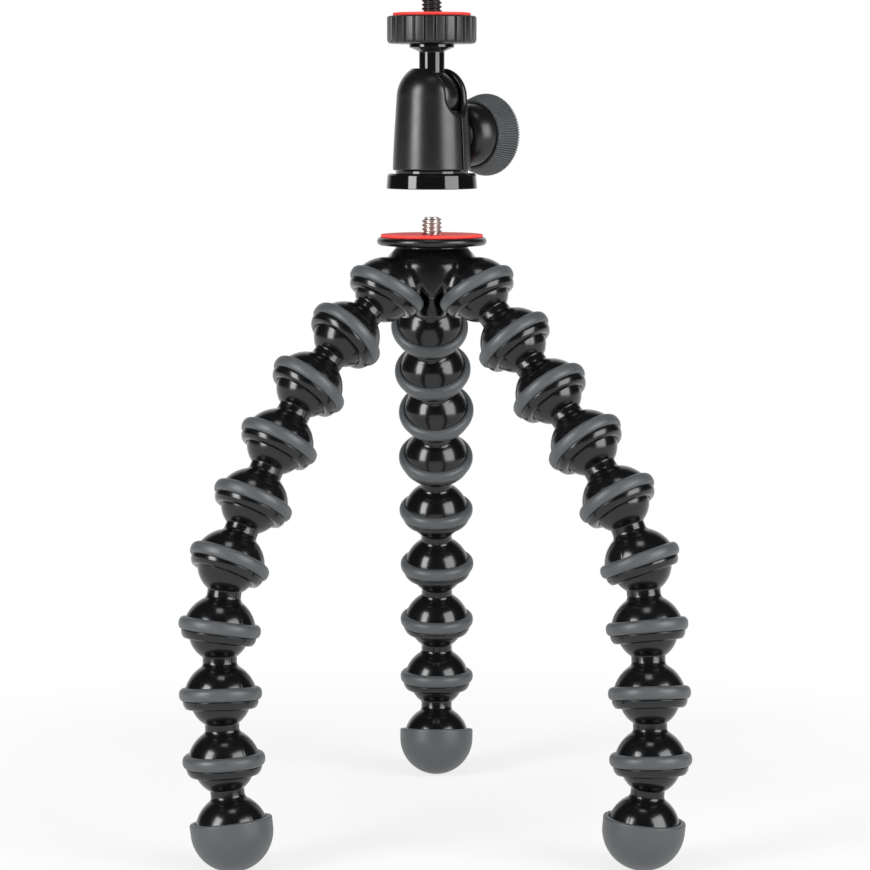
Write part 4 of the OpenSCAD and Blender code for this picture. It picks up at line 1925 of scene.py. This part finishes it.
@dataclass
class CameraPlatform:
    """The ribbed wheel with its red pad and the camera screw."""

    head: HeadSizes
    low: float = 45.196
    wheel_r: float = 14.0
    wheel_h: float = 8.6
    ribs: int = 26
    rib_segments: int = 16
    rib_depth: float = 0.75
    groove_share: float = 0.26
    hole_r: float = 3.15
    rivet_room_low: float = 2.1
    rivet_room_r: float = 4.35
    root_low: float = 4.25
    root_r: float = 5.15
    pad_r: float = 12.2
    pad_h: float = 1.0
    screw_r: float = 3.175
    screw_h: float = 5.5
    screw_sink: float = 0.2
    thread_gap: float = 0.1
    thread_depth: float = 0.62
    pitch: float = 1.27
    LOW_EDGE: ClassVar[tuple[tuple[float, ...], ...]] = (
        (2.2, 0.0, 0.0, 0.0),
        (1.3, 0.02, 0.0, 0.0),
        (0.62, 0.12, 0.2, 0.0),
        (0.1, 0.7, 0.3, 1.0),
        (0.0, 1.3, 0.0, 1.0),
    )
    TOP_EDGE: ClassVar[tuple[tuple[float, ...], ...]] = (
        (0.0, 0.8, 0.0, 1.0),
        (0.06, 0.36, 0.15, 1.0),
        (0.45, 0.04, 0.2, 0.9),
        (1.25, 0.0, 0.0, 0.0),
    )

    def build(self, lathe: Lathe) -> None:
        """Builds and dresses the platform's pieces.

        Args:
            lathe: What turns them.
        """
        self._wheel(lathe)
        top = self.low + self.wheel_h
        hole = self.screw_r + HOLE_ROOM
        pad = friction_pad(hole, self.pad_r, top, top + self.pad_h)
        piece = lathe.turn(
            "platform_red_pad", pad, PAD_RED, self.head.turning(segments=160)
        )
        dress(piece, "camera_wheel", PAD_RED, "wheel_pad")
        tip = top + self.pad_h + self.screw_h
        start = top + self.thread_gap
        screw = ScrewEnd().outline(self.screw_r, top - self.screw_sink, start, tip)
        how = self.head.turning(
            segments=72, pitch=self.pitch, thread_depth=self.thread_depth
        )
        thread = lathe.turn("camera_thread", screw, SCREW_BLACK, how)
        root = Outline()
        root.to(0.0, self.low + self.root_low).to(self.root_r, self.low + self.root_low)
        root.to(self.root_r, top).to(0.0, top)
        base = lathe.turn("camera_root", root, SCREW_BLACK, self.head.turning())
        piece = join_pieces("platform_camera_screw", [thread, base])
        dress(piece, "camera_wheel", SCREW_BLACK, "camera_screw")

    def _wheel(self, lathe: Lathe) -> None:
        """Builds the ribbed wheel.

        A row of its edges is a step in from the rim, a step off the face, a corner
        radius and a share of the ribs.

        Args:
            lathe: What turns it.
        """
        low, top = self.low, self.low + self.wheel_h
        wheel = Outline()
        wheel.to(self.hole_r, low)
        for inset, rise, corner, rib in self.LOW_EDGE:
            wheel.to(self.wheel_r - inset, low + rise, corner, rib=rib)
        for inset, drop, corner, rib in self.TOP_EDGE:
            wheel.to(self.wheel_r - inset, top - drop, corner, rib=rib)
        well = self.root_r + HOLE_ROOM
        wheel.to(well, top).to(well, low + self.root_low)
        wheel.to(self.rivet_room_r, low + self.root_low)
        wheel.to(self.rivet_room_r, low + self.rivet_room_low)
        wheel.to(self.hole_r, low + self.rivet_room_low).to(self.hole_r, low)
        how = self.head.turning(
            segments=self.ribs * self.rib_segments,
            ribs=self.ribs,
            rib_depth=self.rib_depth,
            groove_share=self.groove_share,
        )
        piece = lathe.turn("platform_wheel", wheel, WHEEL_BLACK, how)
        dress(piece, "camera_wheel", WHEEL_BLACK, "camera_wheel")


@dataclass
class LockKnob:
    """The lock knob: a satin core that swells to a ribbed rubber grip."""

    head: HeadSizes
    low: float = 12.25
    boss_r: float = 5.3
    boss_h: float = 2.0
    swell_h: float = 7.0
    core_r: float = 10.0
    grip_w: float = 8.2
    grip_back_r: float = 10.9
    grip_r: float = 13.2
    crown: float = 0.7
    screw_r: float = 2.05
    screw_depth: float = 8.0
    screw_round: float = 0.1
    boss_round: float = 0.25
    boss_drop: float = 0.3
    face_edge: float = 0.25
    face_round: float = 0.2
    face_flat: float = 0.6
    crown_flat: float = 0.8
    flare_power: float = 0.85
    flare_rows: int = 10
    rim_h: float = 0.5
    ribs: int = 96
    rib_segments: int = 8
    rib_depth: float = 0.62
    groove_share: float = 0.6

    def __post_init__(self) -> None:
        """Works out where the grip starts and ends."""
        self.start = self.low + self.boss_h + self.swell_h
        self.end = self.start + self.grip_w

    def build(self, lathe: Lathe) -> None:
        """Builds and dresses the core and the grip.

        Args:
            lathe: What turns them.
        """
        core = Outline()
        dome = self.low + self.boss_h
        core.to(0.0, self.low + self.screw_depth)
        core.to(self.screw_r, self.low + self.screw_depth)
        core.to(self.screw_r, self.low, self.screw_round)
        core.to(self.boss_r, self.low, self.boss_round)
        core.to(self.boss_r, dome - self.boss_drop)
        for turn in range(0, 91, 5):
            angle = math.radians(turn)
            core.to(
                self.boss_r + (self.core_r - self.boss_r) * math.sin(angle),
                self.start - (self.start - dome) * math.cos(angle),
            )
        face = self.end + HOLE_ROOM
        core.to(self.core_r, self.end - self.face_edge)
        core.to(self.core_r, self.end, self.face_round)
        core.to(self.core_r - self.face_flat, face)
        for turn in range(80, -1, -8):
            angle = math.radians(turn)
            core.to(
                (self.core_r - self.crown_flat) * math.sin(angle),
                face + self.crown * math.cos(angle),
            )
        how = self.head.knob_turning(segments=128)
        piece = lathe.turn("lock_knob_core", core, HOUSING_BLACK, how)
        dress(piece, "lock_knob", HOUSING_BLACK, "knob_core")
        grip = self._grip()
        how = self.head.knob_turning(
            segments=self.ribs * self.rib_segments,
            ribs=self.ribs,
            rib_depth=self.rib_depth,
            groove_share=self.groove_share,
        )
        piece = lathe.turn("lock_knob_grip", grip, KNOB_GREY, how)
        dress(piece, "lock_knob", KNOB_GREY, "knob_grip")

    def _grip(self) -> Outline:
        """Half section of the grip, which flares from the core to its rim.

        Returns:
            The closed outline.
        """
        inner = self.core_r + HOLE_ROOM
        flare = self.grip_r - self.grip_back_r
        grip = Outline()
        grip.to(inner, self.start)
        grip.to(self.grip_back_r - 0.4, self.start)
        grip.to(self.grip_back_r - 0.1, self.start + 0.1, 0.1, rib=0.6)
        for n in range(1, self.flare_rows + 1):
            share = n / self.flare_rows
            grip.to(
                self.grip_back_r + flare * share**self.flare_power,
                self.start + (self.grip_w - self.rim_h) * share,
                rib=1.0,
            )
        grip.to(self.grip_r - 0.12, self.end - 0.15, 0.1, rib=1.0)
        grip.to(self.grip_r - 0.5, self.end, 0.15, rib=0.7)
        grip.to(inner + 0.4, self.end, rib=0.0)
        grip.to(inner, self.end).to(inner, self.start)
        return grip


@dataclass
class InnerParts:
    """Pieces inside the head that are kept as they come with the frame."""

    finishes: tuple[tuple[str, Finish], ...] = (
        ("retaining_clip", SCREW_STEEL),
        ("ball_seat", SEAT_NYLON),
        ("lock_insert", INSERT_BRASS),
        ("lock_washer", SCREW_STEEL),
        ("lock_screw", SCREW_STEEL),
    )

    def build(self) -> None:
        """Gives each piece its finish."""
        for name, finish in self.finishes:
            node = frame["nodes"][name]
            node.data.materials.clear()
            node.data.materials.append(finish.material())
            LOG.info("%s: kept from the frame", name)


@dataclass(frozen=True)
class SoftBox:
    """One soft box: direction in degrees, size and distance in metres, power in watts."""

    name: str
    side: float
    rise: float
    size: tuple[float, float]
    power: float
    reach: float = 1.1

    def build(self, heart: Vector) -> None:
        """Sets the lamp, aimed at the heart of the picture.

        Args:
            heart: What it aims at, in metres.
        """
        data = bpy.data.lights.new(self.name, "AREA")
        data.shape = "RECTANGLE"
        data.size, data.size_y = self.size
        data.energy = self.power
        lamp = bpy.data.objects.new(self.name, data)
        around, up = math.radians(self.side), math.radians(self.rise)
        level = math.cos(up)
        away = Vector(
            (math.sin(around) * level, -math.cos(around) * level, math.sin(up))
        )
        lamp.location = heart + away * self.reach
        lamp.rotation_mode = "QUATERNION"
        lamp.rotation_quaternion = away.to_track_quat("Z", "Y")
        bpy.context.scene.collection.objects.link(lamp)


SOFT_BOXES = (
    SoftBox("soft_box_left", -51.0, 18.0, (0.42, 0.75), 11.5),
    SoftBox("soft_box_right", 53.0, 18.0, (0.75, 0.75), 12.0),
    SoftBox("soft_box_top", 0.0, 74.0, (0.35, 0.35), 1.6, reach=1.2),
)


@dataclass
class Studio:
    """Floor, light and camera of a plain product picture."""

    image: int = 870
    focal_px: float = 2946.0
    shift_px: float = 3.2
    tilt: float = 6.31
    distance: float = 930.0
    height: float = 230.5
    sensor: float = 36.0
    floor_half: float = 40.0
    floor_paint: float = 0.9
    floor_white: float = 0.75
    floor_fade: tuple[float, float] = (0.1, 0.3)
    ambient: float = 0.25
    glossy_cut: float = 0.85
    backdrop: tuple[float, float] = (0.55, 0.95)
    heart: float = 0.15
    clip: tuple[float, float] = (0.05, 200.0)

    def build(self, axis: Vector) -> None:
        """Builds floor, world, lamps and camera.

        Args:
            axis: The hub's axis, in millimetres.
        """
        self._floor()
        self._world()
        self._lamps(axis)
        self._camera(axis)

    def _camera(self, axis: Vector) -> None:
        """Sets the camera at the picture's viewing angle.

        Args:
            axis: The hub's axis, in millimetres.
        """
        data = bpy.data.cameras.new("camera")
        data.sensor_width = self.sensor
        data.lens = self.sensor * self.focal_px / self.image
        data.shift_x = self.shift_px / self.image
        data.clip_start, data.clip_end = self.clip
        camera = bpy.data.objects.new("camera", data)
        camera.location = Vector((axis.x, axis.y - self.distance, self.height)) * MM
        camera.rotation_euler = (math.radians(90 - self.tilt), 0.0, 0.0)
        bpy.context.scene.collection.objects.link(camera)
        bpy.context.scene.camera = camera

    def _floor(self) -> None:
        """Lays a pale floor that fades to white away from the object."""
        half = self.floor_half
        corners = [(-half, -half, 0), (half, -half, 0), (half, half, 0), (-half, half, 0)]
        mesh = bpy.data.meshes.new("studio_floor")
        mesh.from_pydata(corners, [], [(0, 1, 2, 3)])
        floor = bpy.data.objects.new("studio_floor", mesh)
        bpy.context.scene.collection.objects.link(floor)
        made = bpy.data.materials.new("pale_floor")
        made.use_nodes = True
        tree = made.node_tree
        tree.nodes.clear()
        wire = Wiring(tree)
        paint = wire.add("ShaderNodeBsdfDiffuse")
        paint.inputs["Color"].default_value = (*[self.floor_paint] * 3, 1.0)
        white = wire.add("ShaderNodeEmission")
        place = wire.add("ShaderNodeTexCoord").outputs["Object"]
        far = wire.add("ShaderNodeVectorMath", operation="LENGTH")
        wire.put(far.inputs[0], place)
        fade = wire.ramp(far.outputs["Value"], *self.floor_fade, smooth=True)
        fade = wire.math("MULTIPLY_ADD", fade, 1 - self.floor_white, self.floor_white)
        path = wire.add("ShaderNodeLightPath").outputs
        seen = wire.math("MAXIMUM", path["Is Camera Ray"], path["Is Glossy Ray"])
        seen = wire.math("MAXIMUM", seen, path["Is Transmission Ray"])
        mix = wire.add("ShaderNodeMixShader")
        wire.put(mix.inputs[0], wire.math("MULTIPLY", fade, seen))
        wire.put(mix.inputs[1], paint.outputs[0])
        wire.put(mix.inputs[2], white.outputs[0])
        wire.put(wire.add("ShaderNodeOutputMaterial").inputs[0], mix.outputs[0])
        mesh.materials.append(made)

    def _world(self) -> None:
        """Sets a white surround for the eye and a dim one for the light."""
        world = bpy.data.worlds.new("studio")
        bpy.context.scene.world = world
        world.use_nodes = True
        tree = world.node_tree
        tree.nodes.clear()
        wire = Wiring(tree)
        path = wire.add("ShaderNodeLightPath").outputs
        seen = wire.math("MAXIMUM", path["Is Camera Ray"], path["Is Transmission Ray"])
        place = wire.add("ShaderNodeTexCoord").outputs["Generated"]
        parts = wire.add("ShaderNodeSeparateXYZ")
        wire.put(parts.inputs[0], place)
        behind = wire.ramp(parts.outputs["Y"], *self.backdrop, smooth=True)
        mirror = wire.math("MULTIPLY", path["Is Glossy Ray"], behind)
        seen = wire.math("MAXIMUM", seen, mirror)
        dim = wire.math(
            "SUBTRACT",
            self.ambient,
            wire.math("MULTIPLY", path["Is Glossy Ray"], self.ambient * self.glossy_cut),
        )
        level = wire.math("MAXIMUM", seen, dim)
        back = wire.add("ShaderNodeBackground")
        back.inputs["Color"].default_value = (1.0, 1.0, 1.0, 1.0)
        wire.put(back.inputs["Strength"], level)
        wire.put(wire.add("ShaderNodeOutputWorld").inputs[0], back.outputs[0])

    def _lamps(self, axis: Vector) -> None:
        """Sets two soft boxes at the front and a weak one overhead.

        Args:
            axis: The hub's axis, in millimetres.
        """
        heart = Vector((axis.x * MM, axis.y * MM, self.heart))
        for box in SOFT_BOXES:
            box.build(heart)


LEGS = (
    ("left", 217.0, 318.0, 9.0),
    ("right", -37.0, 12.0, -6.0),
    ("rear", 88.0, 88.0, -10.0),
)


def main() -> None:
    """Builds the tripod's sub-assemblies in order, then the studio."""
    logging.basicConfig(level=logging.INFO, format="%(name)s: %(message)s")
    bpy.context.scene.view_settings.view_transform = "Standard"
    lathe = Lathe()
    hub = Hub()
    hub.build(lathe)
    for leg in LEGS:
        LegChain(*leg).build(lathe)
    head = HeadSizes()
    HeadBase(head).build(lathe)
    HeadHousing(head).build()
    BallAndStem(head).build(lathe)
    CameraPlatform(head).build(lathe)
    LockKnob(head).build(lathe)
    InnerParts().build()
    Studio().build(hub.axis)


if __name__ == "__main__":
    main()
